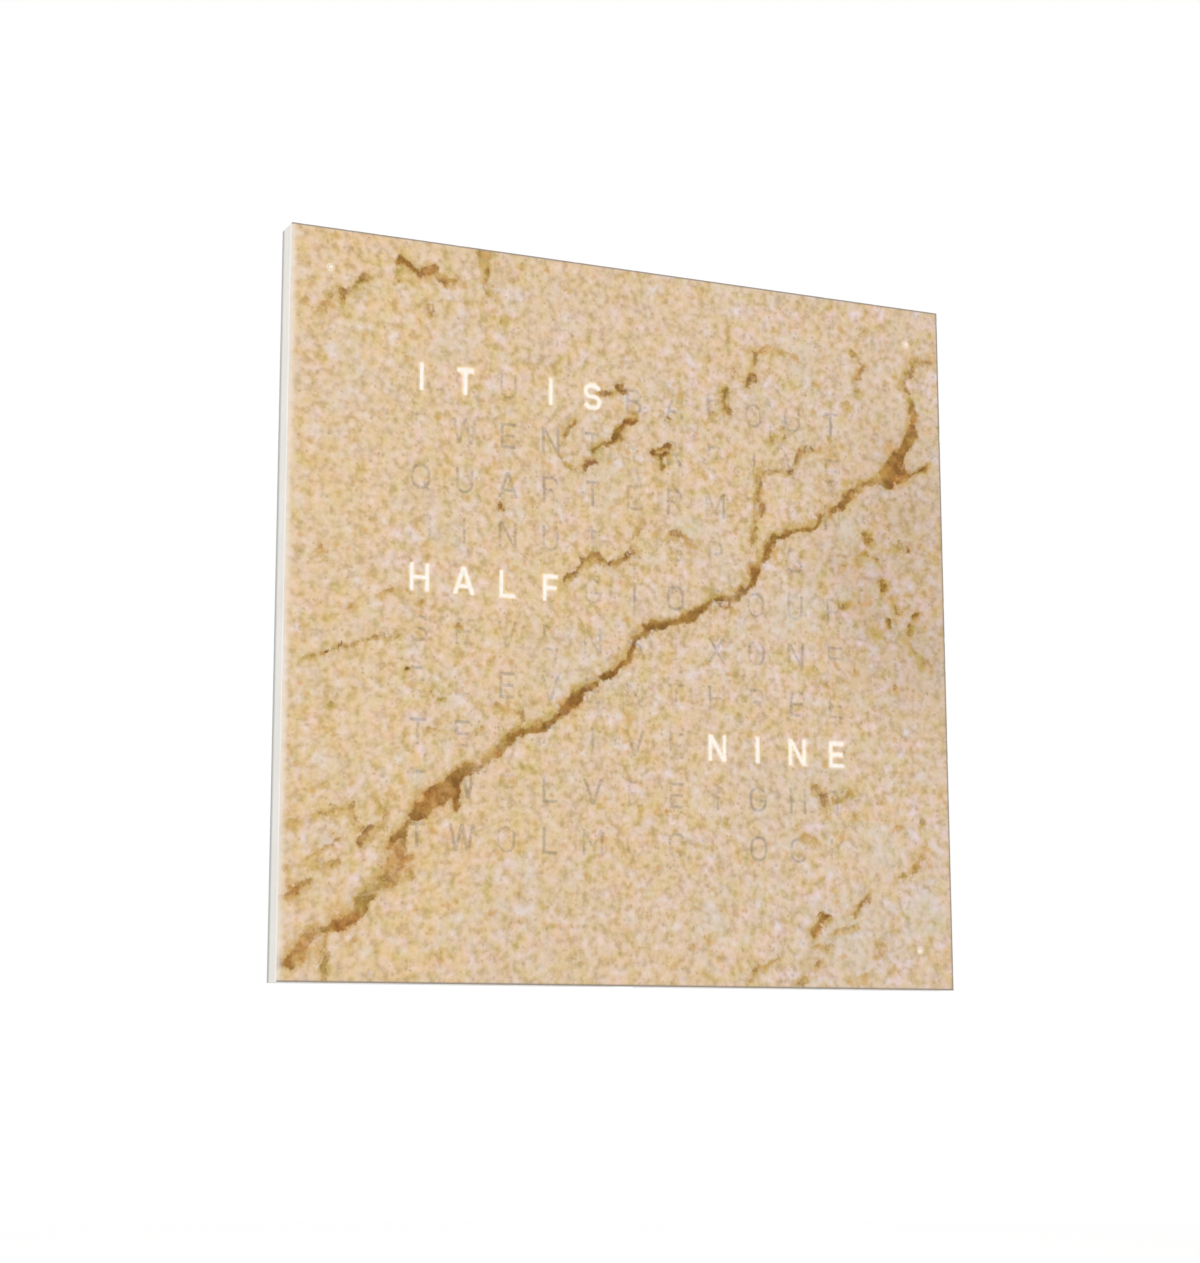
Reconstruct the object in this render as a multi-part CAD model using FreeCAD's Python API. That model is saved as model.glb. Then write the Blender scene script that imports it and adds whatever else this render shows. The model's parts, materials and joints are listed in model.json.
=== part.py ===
import FreeCAD, Part
import math
import os

# Wall clock that tells the time in words. A stone-faced cover with lettered windows is held by magnets
# on a shallow lacquered frame, which holds the lamps, the boards, the setting buttons and the power inlet.
# Millimetres. X runs to the right seen from the front, Y into the wall, Z up.
# The origin is the middle of the back, in the wall plane, so the clock lies between y = -depth and y = 0.

# Whole clock
side = 450.0
depth = 20.0

# Front cover
stone_thickness = 1.2
plate_thickness = 3.0
seam_gap = 0.3               # shadow line between cover and frame, set by the magnets
stone_chamfer = 0.3

# Lettered field
layout = [
    "ITUISBABOUT",
    "TWENTYRFIVE",
    "QUARTERMTEN",
    "MINUTESPAST",
    "HALFGTOFOUR",
    "SEVENSIXONE",
    "ELEVENTHREE",
    "TENFIVENINE",
    "TWELVEEIGHT",
    "TWOLMOCLOCK",
]
column_pitch = 28.35
row_pitch = 30.9
cap_height = 16.5
stroke = 2.4
inlay_gap = 0.05             # glue line round each letter
inlay_recess = 0.05          # letters lie this far below the stone
lit_words = {                # word: (row, first column)
    "it": (0, 0),
    "is": (0, 3),
    "half": (4, 0),
    "nine": (7, 7),
}
dot_inset = 24.6             # minute dots, from the two edges of their corner
dot_radius = 2.0
unlit_corner = (-1, -1)      # signs of x and z

# Frame
rail_width = 12.0
rail_chamfer = 0.5
rebate_width = 7.0           # ledge for the back panel
panel_thickness = 2.0
panel_gap = 0.2
magnet_radius = 4.0
magnet_length = 5.0
magnet_rest = 0.02           # between magnets and discs
magnet_stations = (-95.0, 95.0)      # places along every rail
keeper_radius = 5.0
keeper_thickness = 1.0
pin_radius = 1.5
pin_length = 5.8
pin_seat = 1.5
pin_stations = (-150.0, 150.0)       # places along the two upright rails
bracket_leg = 40.0
bracket_thickness = 3.0
bracket_depth = 10.0
bracket_stations = (180.0, 200.0)    # screws along a leg, from the middle of the rail
fit = 0.05                           # radial play of screws, magnets and discs in their holes
pin_play = 0.1                       # radial play of the pins in the rails
hole_spare = 0.5                     # blind holes go this far past a screw's tip

# Screws: (shank radius, head radius, head height)
panel_screw = (1.25, 2.4, 1.2)
board_screw = (1.25, 2.6, 1.6)
frame_screw = (1.5, 2.8, 1.5)
panel_screw_stations = (-190.0, -60.0, 60.0, 190.0)
panel_screw_length = 8.0
frame_screw_length = 8.0
straight_slot = (0.4, 1.8, 0.8)      # half width, half length, depth
cross_slot_size = (0.35, 1.5, 0.7)

# Light grid and lamp boards
grid_wall = 3.0
grid_clear = 0.5             # from the cover's back
board_thickness = 1.6
board_stand = 4.0            # boards stand this far off the back panel
board_half_width = 173.0
board_half_height = 166.0
board_split = 0.4
board_play = 0.2             # radial play of the screws in boards and ears
ear_margin = 2.0             # ears end this far inside the boards' edge
ear_thickness = 2.0
ear_half_height = 5.0
fixing_x = 166.0
fixing_heights = (10.0, 85.0, 150.0)
standoff_radius = 3.0
lamp_size = 5.0
lamp_height = 1.5
lamp_well_radius = 1.9
lamp_well_depth = 0.3

# Corner lamps
cup_radius = 7.5
cup_bore = 5.5
cup_floor = 2.0
lead_radius = 0.9
lead_play = 0.15

# Controller and its parts
controller_x = 75.0
controller_z = (-190.0, -167.5)
controller_fixings = [(x, z) for x in (-70.0, 70.0) for z in (-186.0, -171.5)]
cell_radius = 10.0
cell_thickness = 3.2
cell_x = -48.0
cell_floor = 0.6             # of its holder
ribbon_width = 20.0
ribbon_thickness = 0.8

# Radio receiver
radio_z = (178.0, 194.0)
radio_half_width = 42.0
radio_fixing_inset = 3.5       # from the board's ends and its lower edge
antenna_radius = 2.5
antenna_half_length = 40.0
antenna_inset = 6.0            # its axis, from the board's top edge
coil_radius = 3.4
coil_half_length = 11.0
coil_cheek = 0.4               # cheeks stand this far past the winding

# Power inlet: a small oval socket in a channel that is open at the back and at the bottom edge
channel_half_width = 7.5
channel_depth = 8.5
channel_wall = 1.2
socket_mouth_z = -190.6
socket_length = 7.5
socket_half_width = 4.47
socket_height = 3.2
socket_sheet = 0.3

# Wall hangers
hanger_x = 140.0
hanger_entry_z = 178.0
hanger_slot_rise = 12.0
hanger_entry_radius = 5.0
hanger_slot_radius = 2.5
hanger_sheet = 1.5
hanger_half_width = 17.0
hanger_z = (164.0, 202.0)
hanger_window_radius = 8.0
rivet_radius = 1.6
rivet_head_radius = 3.0
rivet_head_height = 1.2

# Setting buttons and light sensor, in the underside
button_stations = (118.0, 132.0, 146.0, 160.0)
button_y = -7.75
button_radius = 3.0
button_play = 0.08
button_head = 6.0
button_flange_radius = 3.9
button_flange = 1.0
flange_play = 0.4
flange_rest = 0.02           # between flange and rail
button_stem_radius = 1.7
button_reach = 0.8           # stem inside the switch at rest
button_dish = 0.35
switch_size = 6.0
switch_height = 3.5
switch_well = 1.5
button_board_z = -208.0
button_board_x = (97.0, 168.0)
button_board_half_depth = 5.0
sensor_x = 106.0
sensor_radius = 2.0

# Worked out from the above
half = side / 2
y_face = -depth
y_stone_back = y_face + stone_thickness
y_plate_back = y_stone_back + plate_thickness
y_rail_front = y_plate_back + seam_gap
y_panel = -panel_thickness
y_board_back = y_panel - board_stand
y_board = y_board_back - board_thickness
y_ear = y_board - ear_thickness
y_grid_front = y_plate_back + grid_clear
rail_inner = half - rail_width
rail_middle = half - rail_width / 2
rebate_edge = rail_inner + rebate_width
panel_half = rebate_edge - panel_gap
panel_screw_line = rail_inner + rebate_width / 2
columns = len(layout[0])
rows = len(layout)
dot_place = half - dot_inset
all_corners = [(sx, sz) for sx in (-1, 1) for sz in (-1, 1)]


# Small shapes

def vec(x, y, z):
    return FreeCAD.Vector(x, y, z)


def block(x0, x1, y0, y1, z0, z1):
    return Part.makeBox(x1 - x0, y1 - y0, z1 - z0, vec(x0, y0, z0))


def rod_y(x, z, radius, y0, y1):
    return Part.makeCylinder(radius, y1 - y0, vec(x, y0, z), vec(0, 1, 0))


def rod_z(x, y, radius, z0, z1):
    return Part.makeCylinder(radius, z1 - z0, vec(x, y, z0), vec(0, 0, 1))


def rod_x(y, z, radius, x0, x1):
    return Part.makeCylinder(radius, x1 - x0, vec(x0, y, z), vec(1, 0, 0))


def cone_y(x, z, radius_0, radius_1, y0, y1):
    return Part.makeCone(radius_0, radius_1, y1 - y0, vec(x, y0, z), vec(0, 1, 0))


def group(shapes):
    return Part.makeCompound(shapes)


def joined(shapes):
    return shapes[0].fuse(shapes[1:]).removeSplitter()


def turned(shape, angle):
    """A copy turned about the clock's own axis, from the top rail's place to another side."""
    copy = shape.copy()
    copy.rotate(vec(0, 0, 0), vec(0, 1, 0), angle)
    return copy


def mirrored(shape, sx, sz):
    """A copy of a top right corner piece, for the corner with these signs."""
    copy = shape.copy()
    if sx < 0:
        copy = copy.mirror(vec(0, 0, 0), vec(1, 0, 0))
    if sz < 0:
        copy = copy.mirror(vec(0, 0, 0), vec(0, 0, 1))
    return copy


def polygon(points):
    return Part.Face(Part.makePolygon(points + points[:1]))


def edges_where(shape, test):
    return [e for e in shape.Edges if test(e.BoundBox)]


# Lettering: one weight of stroke, straight or round, in the plane of the face

top = cap_height / 2
rim = top - stroke / 2       # centre line of the top stroke; the bottom one is at -rim
lean = stroke * 1.12         # level width of a leaning stroke


def upright(x, z0=-top, z1=top):
    """Upright stroke whose centre line is at x."""
    h = stroke / 2
    return polygon([vec(x - h, 0, z0), vec(x + h, 0, z0), vec(x + h, 0, z1), vec(x - h, 0, z1)])


def level(x0, x1, z):
    """Level stroke from x0 to x1, with its centre line at z."""
    h = stroke / 2
    return polygon([vec(x0, 0, z - h), vec(x1, 0, z - h), vec(x1, 0, z + h), vec(x0, 0, z + h)])


def slant(x0, x1, z0=-top, z1=top):
    """Leaning stroke from the middle of its foot to the middle of its head, cut level at both."""
    h = lean / 2
    return polygon([vec(x0 - h, 0, z0), vec(x0 + h, 0, z0), vec(x1 + h, 0, z1), vec(x1 - h, 0, z1)])


def bend(x, z, radius, start, end):
    """Round stroke about x, z. Angles in degrees, anticlockwise from the right."""
    def at(r, angle):
        a = math.radians(angle)
        return vec(x + r * math.cos(a), 0, z + r * math.sin(a))

    outer, inner = radius + stroke / 2, radius - stroke / 2
    middle = (start + end) / 2
    edges = [
        Part.Arc(at(outer, start), at(outer, middle), at(outer, end)).toShape(),
        Part.makeLine(at(outer, end), at(inner, end)),
        Part.Arc(at(inner, end), at(inner, middle), at(inner, start)).toShape(),
        Part.makeLine(at(inner, start), at(outer, start)),
    ]
    return Part.Face(Part.Wire(edges))


def oval(radius, gap=None):
    """The round letters' stroke: two half turns and their straight sides, open on the right for C and G."""
    turn = rim - radius
    first = 0 if gap is None else gap
    strokes = [bend(0, turn, radius, first, 180), upright(-radius, -turn, turn)]
    if gap is None:
        strokes += [bend(0, -turn, radius, 180, 360), upright(radius, -turn, turn)]
    return strokes


def letter_strokes():
    """Strokes of every capital in the layout, each about its own middle."""
    edge = stroke / 2
    bowl = rim / 2                       # centre-line radius of the small bowls
    round_r = 5.1                        # of O, C, G and Q
    turn = rim - round_r
    hook = 1.1                           # half the straight part of S
    loop = 3.75                          # bowl of P and R
    waist = rim - 2 * loop
    b_turn = 1.0
    p_turn = 0.6
    return {
        "A": [slant(-5.7, 0), slant(5.7, 0), level(-4.3, 4.3, -3.4)],
        "B": [upright(-4.4), level(-4.4, b_turn - 0.5, rim), bend(b_turn - 0.5, bowl, bowl, -90, 90),
              level(-4.4, b_turn, 0), bend(b_turn, -bowl, bowl, -90, 90), level(-4.4, b_turn, -rim)],
        "C": oval(round_r, 25) + [bend(0, -turn, round_r, 180, 335)],
        "E": [upright(-4.0), level(-4.0, 5.2, rim), level(-4.0, 4.4, 0), level(-4.0, 5.2, -rim)],
        "F": [upright(-3.8), level(-3.8, 5.0, rim), level(-3.8, 4.0, 0)],
        "G": oval(round_r, 25) + [bend(0, -turn, round_r, 180, 360), upright(round_r, -turn, -0.4),
                                  level(0.8, round_r + edge, -0.9)],
        "H": [upright(-4.95), upright(4.95), level(-4.95, 4.95, 0)],
        "I": [upright(0)],
        "K": [upright(-4.5), slant(-3.6, 4.5, -2.6, top), slant(4.9, -1.2, -top, 1.6)],
        "L": [upright(-3.9), level(-3.9, 5.0, -rim)],
        "M": [upright(-6.0), upright(6.0), slant(0, -5.8, -3.4, top), slant(0, 5.8, -3.4, top)],
        "N": [upright(-4.95), upright(4.95), slant(4.8, -4.8)],
        "O": oval(round_r),
        "P": [upright(-4.2), level(-4.2, p_turn, rim), bend(p_turn, rim - loop, loop, -90, 90),
              level(-4.2, p_turn, waist)],
        "Q": oval(round_r) + [slant(5.2, 1.6, -top, -2.4)],
        "R": [upright(-4.4), level(-4.4, p_turn, rim), bend(p_turn, rim - loop, loop, -90, 90),
              level(-4.4, p_turn, waist), slant(4.6, 0.8, -top, waist)],
        "S": [bend(hook, bowl, bowl, 15, 90), level(-hook, hook, rim), bend(-hook, bowl, bowl, 90, 270),
              level(-hook, hook, 0), bend(hook, -bowl, bowl, -90, 90), level(-hook, hook, -rim),
              bend(-hook, -bowl, bowl, 195, 270)],
        "T": [upright(0), level(-5.5, 5.5, rim)],
        "U": [upright(-4.7, -rim + 4.7, top), upright(4.7, -rim + 4.7, top),
              bend(0, -rim + 4.7, 4.7, 180, 360)],
        "V": [slant(0, -5.6), slant(0, 5.6)],
        "W": [slant(-3.8, -7.2), slant(-3.8, 0), slant(3.8, 0), slant(3.8, 7.2)],
        "X": [slant(-5.0, 5.0), slant(5.0, -5.0)],
        "Y": [slant(0, -5.4, -0.6, top), slant(0, 5.4, -0.6, top), upright(0, -top, 0)],
    }


def letter_faces():
    """Outline of every letter, as one flat face."""
    return {letter: joined(strokes).Faces[0] for letter, strokes in letter_strokes().items()}


def cell_middle(row, column):
    return (column - (columns - 1) / 2) * column_pitch, ((rows - 1) / 2 - row) * row_pitch


def at_cell(shape, row, column, y):
    x, z = cell_middle(row, column)
    return shape.translated(vec(x, y, z))


def lit_cells():
    return {(row, first + i) for word, (row, first) in lit_words.items() for i in range(len(word))}


# Front cover

def stone_sheet(faces):
    """The stone face with its letter windows, and the loose middles of the closed letters."""
    outline = polygon([vec(x, y_face, z) for x, z in
                       ((-half, -half), (half, -half), (half, half), (-half, half))])
    wires = list(outline.Wires)
    for row, letters in enumerate(layout):
        for column, letter in enumerate(letters):
            wires += at_cell(faces[letter], row, column, y_face).Wires
    for sx, sz in all_corners:
        circle = Part.Circle(vec(sx * dot_place, y_face, sz * dot_place), vec(0, 1, 0), dot_radius)
        wires.append(Part.Wire(circle.toShape()))
    sheets = Part.makeFace(wires, "Part::FaceMakerBullseye").Faces
    solids = sorted((f.extrude(vec(0, stone_thickness, 0)) for f in sheets), key=lambda s: s.Volume)
    front_rim = edges_where(
        solids[-1],
        lambda b: b.YMax < y_face + 0.01 and (b.XLength > side - 1 or b.ZLength > side - 1))
    return solids[-1].makeChamfer(stone_chamfer, front_rim), group(solids[:-1])


def inlay(face, row, column):
    """One letter, cut to lie in its window with a glue line round it."""
    thin = face.makeOffset2D(-inlay_gap)
    front = y_face + inlay_recess
    solid = thin.extrude(vec(0, y_stone_back - front, 0))
    return at_cell(solid, row, column, front)


def letter_nodes(faces):
    """Ten rows of plain letters and the four words that are lit."""
    lit = lit_cells()
    nodes = {}
    for row, letters in enumerate(layout):
        plain = [inlay(faces[c], row, i) for i, c in enumerate(letters) if (row, i) not in lit]
        nodes[f"letters_row_{row + 1:02d}"] = group(plain)
    for word, (row, first) in lit_words.items():
        cells = range(first, first + len(word))
        nodes[f"lit_word_{word}"] = group([inlay(faces[layout[row][i]], row, i) for i in cells])
    return nodes


def minute_dot(sx, sz):
    front = y_face + inlay_recess
    return rod_y(sx * dot_place, sz * dot_place, dot_radius - inlay_gap, front, y_stone_back)


def magnet_places():
    """Middles of the magnets, two along every rail."""
    upright_rails = [(sx * rail_middle, s) for sx in (-1, 1) for s in magnet_stations]
    level_rails = [(s, sz * rail_middle) for sz in (-1, 1) for s in magnet_stations]
    return upright_rails + level_rails


def pin_places():
    return [(sx * rail_middle, s) for sx in (-1, 1) for s in pin_stations]


def cover_plate():
    """Opal sheet behind the stone, with blind seats for the steel discs and the pins."""
    plate = block(-half, half, y_stone_back, y_plate_back, -half, half)
    seats = [rod_y(x, z, keeper_radius + fit, y_plate_back - keeper_thickness, y_plate_back)
             for x, z in magnet_places()]
    seats += [rod_y(x, z, pin_radius, y_plate_back - pin_seat, y_plate_back) for x, z in pin_places()]
    return plate.cut(seats)


def keeper_discs():
    return group([rod_y(x, z, keeper_radius, y_plate_back - keeper_thickness, y_plate_back)
                  for x, z in magnet_places()])


def locating_pins():
    """Pins with tapered tips that place the cover on the frame."""
    tip = 1.0
    foot = y_plate_back - pin_seat
    end = foot + pin_length
    return group([rod_y(x, z, pin_radius, foot, end - tip).fuse(
        cone_y(x, z, pin_radius, pin_radius * 0.6, end - tip, end)).removeSplitter()
        for x, z in pin_places()])


# Screws

def cross_slot(x, z, y0, y1):
    """The two arms of a cross slot, to cut from a screw head."""
    half_width, half_length, _ = cross_slot_size
    return [block(x - half_length, x + half_length, y0, y1, z - half_width, z + half_width),
            block(x - half_width, x + half_width, y0, y1, z - half_length, z + half_length)]


# Frame

def plain_rail():
    """The top rail with mitred ends. The other three are the same piece turned."""
    c = rail_chamfer
    section = [(rail_inner, y_rail_front), (half - c, y_rail_front), (half, y_rail_front + c),
               (half, -c), (half - c, 0), (rebate_edge, 0), (rebate_edge, y_panel),
               (rail_inner, y_panel)]
    bar = polygon([vec(-half, y, z) for z, y in section]).extrude(vec(side, 0, 0))
    wedge = polygon([vec(0, -depth, 0), vec(side, -depth, side), vec(-side, -depth, side)])
    rail = bar.common(wedge.extrude(vec(0, 2 * depth, 0)))
    holes = [rod_y(s, rail_middle, magnet_radius + fit, y_rail_front, magnet_back())
             for s in magnet_stations]
    holes += [rod_y(s, panel_screw_line, panel_screw[0] + fit, -panel_screw_length - hole_spare, y_panel)
              for s in panel_screw_stations]
    holes += [rod_z(sign * s, y_bracket_middle(), frame_screw[0] + fit, rail_inner,
                    rail_inner + frame_screw_length - bracket_thickness + hole_spare)
              for s in bracket_stations for sign in (-1, 1)]
    return rail.cut(holes)


def magnet_back():
    return y_plate_back + magnet_rest + magnet_length


def y_bracket_middle():
    return (y_rail_front + y_panel) / 2


def upright_rail(angle):
    """A side rail: the plain rail with the two holes for the cover's pins."""
    rail = turned(plain_rail(), angle)
    holes = [rod_y(x, z, pin_radius + pin_play, y_rail_front, y_rail_front + pin_length)
             for x, z in pin_places()]
    return rail.cut(holes)


def bottom_rail():
    """The bottom rail, with the button holes, the sensor's hole and the end of the plug channel."""
    rail = turned(plain_rail(), 180)
    below = -half - 1
    shoulder = -half + button_head
    cuts = [block(-channel_half_width, channel_half_width, -channel_depth, 1, below, -rail_inner + 1)]
    for x in button_stations:
        cuts.append(rod_z(x, button_y, button_radius + button_play, below, shoulder + 1))
        cuts.append(rod_z(x, button_y, button_flange_radius + flange_play, shoulder - flange_rest,
                          -rail_inner + 1))
    cuts.append(rod_z(sensor_x, button_y, sensor_radius + fit, below, -rail_inner + 1))
    return rail.cut(cuts)


def corner_bracket():
    """Steel angle in the top right corner, with countersunk holes in both legs."""
    y0 = y_bracket_middle() - bracket_depth / 2
    y1 = y0 + bracket_depth
    start, inside = rail_inner - bracket_leg, rail_inner - bracket_thickness
    angle = joined([block(start, rail_inner, y0, y1, inside, rail_inner),
                    block(inside, rail_inner, y0, y1, start, rail_inner)])
    shank, head, height = frame_screw
    cuts = []
    for s in bracket_stations:
        hole = rod_z(s, y_bracket_middle(), shank + fit, inside - 1, rail_inner + 1)
        sink = Part.makeCone(head + fit, shank + fit, height, vec(s, y_bracket_middle(), inside),
                             vec(0, 0, 1))
        cuts += [hole, sink, swapped(hole), swapped(sink)]
    return angle.cut(cuts)


def swapped(shape):
    """A copy with X and Z exchanged, for the other leg of a corner."""
    return shape.mirror(vec(0, 0, 0), vec(1, 0, -1).normalize())


def bracket_screws():
    """Countersunk screws of the top right corner, two in each leg."""
    shank, head, height = frame_screw
    inside = rail_inner - bracket_thickness
    screws = []
    for s in bracket_stations:
        screw = Part.makeCone(head, shank, height, vec(s, y_bracket_middle(), inside), vec(0, 0, 1))
        screw = screw.fuse(rod_z(s, y_bracket_middle(), shank, inside + height,
                                 inside + frame_screw_length)).removeSplitter()
        half_width, half_length, slot_depth = straight_slot
        slot = block(s - half_width, s + half_width, y_bracket_middle() - half_length,
                     y_bracket_middle() + half_length, inside - 1, inside + slot_depth)
        screw = screw.cut(slot)
        screws += [screw, swapped(screw)]
    return screws


def magnets():
    front = y_plate_back + magnet_rest
    return group([rod_y(x, z, magnet_radius, front, front + magnet_length) for x, z in magnet_places()])


# Light grid, lamp boards and lamps

def fixing_places():
    return [(sx * fixing_x, sz * z) for sx in (-1, 1) for sz in (-1, 1) for z in fixing_heights]


def light_grid():
    """A deep white grid with one cell behind every letter, and ears that the board screws hold."""
    half_x = columns * column_pitch / 2 + grid_wall / 2
    half_z = rows * row_pitch / 2 + grid_wall / 2
    grid = block(-half_x, half_x, y_grid_front, y_board, -half_z, half_z)
    cell_x, cell_z = (column_pitch - grid_wall) / 2, (row_pitch - grid_wall) / 2
    cells = []
    for row in range(rows):
        for column in range(columns):
            x, z = cell_middle(row, column)
            cells.append(block(x - cell_x, x + cell_x, y_grid_front - 1, y_board + 1,
                               z - cell_z, z + cell_z))
    grid = grid.cut(cells)
    ears = []
    for x, z in fixing_places():
        end = board_half_width - ear_margin
        x0, x1 = (half_x, end) if x > 0 else (-end, -half_x)
        ears.append(block(x0, x1, y_ear, y_board, z - ear_half_height, z + ear_half_height))
    holes = [rod_y(x, z, board_screw[0] + board_play, y_ear - 1, y_board + 1)
             for x, z in fixing_places()]
    return joined([grid] + ears).cut(holes)


def drilled(board, places):
    """A board with a screw hole at each place."""
    return board.cut([rod_y(x, z, board_screw[0] + board_play, y_board - 1, y_board_back + 1)
                      for x, z in places])


def lamp_board(sign):
    """The upper or lower half of the lamp board."""
    inner, outer = sorted((sign * board_split / 2, sign * board_half_height))
    board = block(-board_half_width, board_half_width, y_board, y_board_back, inner, outer)
    return drilled(board, [(x, z) for x, z in fixing_places() if z * sign > 0])


def lamp(x, z, y_back):
    """Square light-emitting package with a round well in its front."""
    h = lamp_size / 2
    front = y_back - lamp_height
    body = block(x - h, x + h, front, y_back, z - h, z + h)
    return body.cut(rod_y(x, z, lamp_well_radius, front - 1, front + lamp_well_depth))


def matrix_lamps():
    return group([lamp(*cell_middle(row, column), y_board)
                  for row in range(rows) for column in range(columns)])


def radio_fixings():
    return [(sx * (radio_half_width - radio_fixing_inset), radio_z[0] + radio_fixing_inset)
            for sx in (-1, 1)]


def board_fixings():
    """Every place where a board stands on a spacer: (x, z, face under the screw head)."""
    plain = [(x, z, y_board) for x, z in controller_fixings + radio_fixings()]
    return [(x, z, y_ear) for x, z in fixing_places()] + plain


def board_spacers():
    bore = board_screw[0] + fit
    return group([rod_y(x, z, standoff_radius, y_board_back, y_panel).cut(
        rod_y(x, z, bore, y_board_back - 1, y_panel + 1)) for x, z, _ in board_fixings()])


def board_screws():
    """Pan-head screws with a cross slot, down into the spacers."""
    shank, head, height = board_screw
    screws = []
    for x, z, seat in board_fixings():
        screw = rod_y(x, z, head, seat - height, seat).fuse(
            rod_y(x, z, shank, seat, y_panel - hole_spare))
        top_face = seat - height
        arms = cross_slot(x, z, top_face - 1, top_face + cross_slot_size[2])
        screws.append(screw.removeSplitter().cut(arms))
    return group(screws)


# Corner lamps

def corner_cup():
    """White cup behind the top right minute dot, with a hole for its lead."""
    x = z = dot_place
    cup = rod_y(x, z, cup_radius, y_grid_front, y_panel)
    bore = rod_y(x, z, cup_bore, y_grid_front - 1, y_panel - cup_floor)
    toward_middle = vec(-1, 0, -1).normalize()
    hole = Part.makeCylinder(lead_radius + lead_play, cup_radius + 1, vec(x, lead_end_y(), z),
                             toward_middle)
    return cup.cut([bore, hole])


def corner_board_front():
    return y_panel - cup_floor - board_thickness


def lead_end_y():
    return corner_board_front() - lead_radius


def corner_board(sx, sz):
    return rod_y(sx * dot_place, sz * dot_place, cup_bore - 0.1, corner_board_front(),
                 y_panel - cup_floor)


def tube(points, radius, turn):
    """Round lead along straight runs joined by tangent arcs of one radius."""
    edges = []
    start = points[0]
    for before, corner, after in zip(points, points[1:], points[2:]):
        back = (before - corner).normalize()
        on = (after - corner).normalize()
        angle = math.acos(max(-1, min(1, back.dot(on))))
        run = turn / math.tan(angle / 2)
        first, last = corner + back * run, corner + on * run
        inward = (back + on).normalize()
        middle = corner + inward * (turn / math.sin(angle / 2) - turn)
        edges.append(Part.makeLine(start, first))
        edges.append(Part.Arc(first, middle, last).toShape())
        start = last
    edges.append(Part.makeLine(start, points[-1]))
    path = Part.Wire(edges)
    ring = Part.Wire(Part.Circle(points[0], points[1] - points[0], radius).toShape())
    return path.makePipeShell([ring], True, False)


def corner_lead():
    """Lead from the lamp board's corner down to the board in the top right cup."""
    end = dot_place - (cup_bore - 1.2) / math.sqrt(2)
    y0, y1 = y_board - lead_radius, lead_end_y()
    x0, z0 = board_half_width - 5.0, board_half_height - 5.0
    across, up = end - x0, end - z0
    points = [vec(x0, y0, z0), vec(x0 + across * 0.3, y0, z0 + up * 0.3 - 3.0),
              vec(end - 12.0, y1, end - 12.0), vec(end, y1, end)]
    return tube(points, lead_radius, 5.0)


def button_lead():
    """Lead from the controller's right end to the button board."""
    y0 = y_board - lead_radius
    x1 = button_board_x[0] + 3.0
    z1 = button_board_z + board_thickness + lead_radius
    points = [vec(controller_x - 9.0, y0, -180.0), vec(controller_x + 8.0, y0, -180.0),
              vec(controller_x + 20.0, button_y, z1), vec(x1, button_y, z1)]
    return tube(points, lead_radius, 6.0)


# Controller, ribbons and radio receiver

def controller_board():
    board = block(-controller_x, controller_x, y_board, y_board_back, *controller_z)
    return drilled(board, controller_fixings)


def chip(x, z, width, height, thickness):
    return block(x - width / 2, x + width / 2, y_board - thickness, y_board,
                 z - height / 2, z + height / 2)


def controller_chips():
    """Processor, clock chip, lamp drivers, quartz can and two capacitors."""
    z = sum(controller_z) / 2
    packages = [chip(-14, z, 10, 10, 1.2), chip(2, z + 2, 5, 4, 1.0)]
    packages += [chip(x, z, 8, 6, 1.2) for x in (16, 30, 44)]
    quartz = rod_x(y_board - 1.5, z - 4.5, 1.5, -3.0, 5.0)
    capacitors = [rod_y(x, z + 4.5, 2.2, y_board - 5.0, y_board) for x in (-27.0, -21.5)]
    return group(packages + [quartz] + capacitors)


def cell_holder():
    """Open cup for a coin cell, with a spring lip on one side."""
    z = sum(controller_z) / 2
    wall, lip, arm_width = 0.8, 0.9, 6.0
    front = y_board - cell_floor - cell_thickness - 0.2
    cup = rod_y(cell_x, z, cell_radius + wall, front, y_board)
    cup = cup.cut(rod_y(cell_x, z, cell_radius + 0.1, front - 1, y_board - cell_floor))
    arm = block(cell_x - arm_width / 2, cell_x + arm_width / 2, front - lip, front,
                z + 2.0, z + cell_radius + wall - 0.4)
    return joined([cup, arm])


def coin_cell():
    z = sum(controller_z) / 2
    back = y_board - cell_floor
    step = 0.5
    narrow = rod_y(cell_x, z, cell_radius - step, back - step, back)
    return joined([rod_y(cell_x, z, cell_radius, back - cell_thickness, back - step), narrow])


def ribbon(x, z0, z1):
    """Flat ribbon behind two boards, with a plug at each end."""
    plug = 5.0
    deep = y_board_back + 2.8
    flat = deep - ribbon_thickness
    section = [(z0, y_board_back), (z0 + plug, y_board_back), (z0 + plug, flat), (z1 - plug, flat),
               (z1 - plug, y_board_back), (z1, y_board_back), (z1, deep), (z0, deep)]
    return polygon([vec(x, y, z) for z, y in section]).extrude(vec(ribbon_width, 0, 0))


def ribbon_cables():
    """Controller to lower board, lower to upper board, and upper board to radio receiver."""
    return group([ribbon(20.0, controller_z[0] + 4, -board_half_height + 12),
                  ribbon(-70.0, -16.0, 16.0),
                  ribbon(-10.0, board_half_height - 12, radio_z[0] + 8)])


def radio_board():
    board = block(-radio_half_width, radio_half_width, y_board, y_board_back, *radio_z)
    return drilled(board, radio_fixings())


def antenna_axis():
    return y_board - coil_radius - coil_cheek, radio_z[1] - antenna_inset


def ferrite_antenna():
    y, z = antenna_axis()
    return rod_x(y, z, antenna_radius, -antenna_half_length, antenna_half_length)


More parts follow.
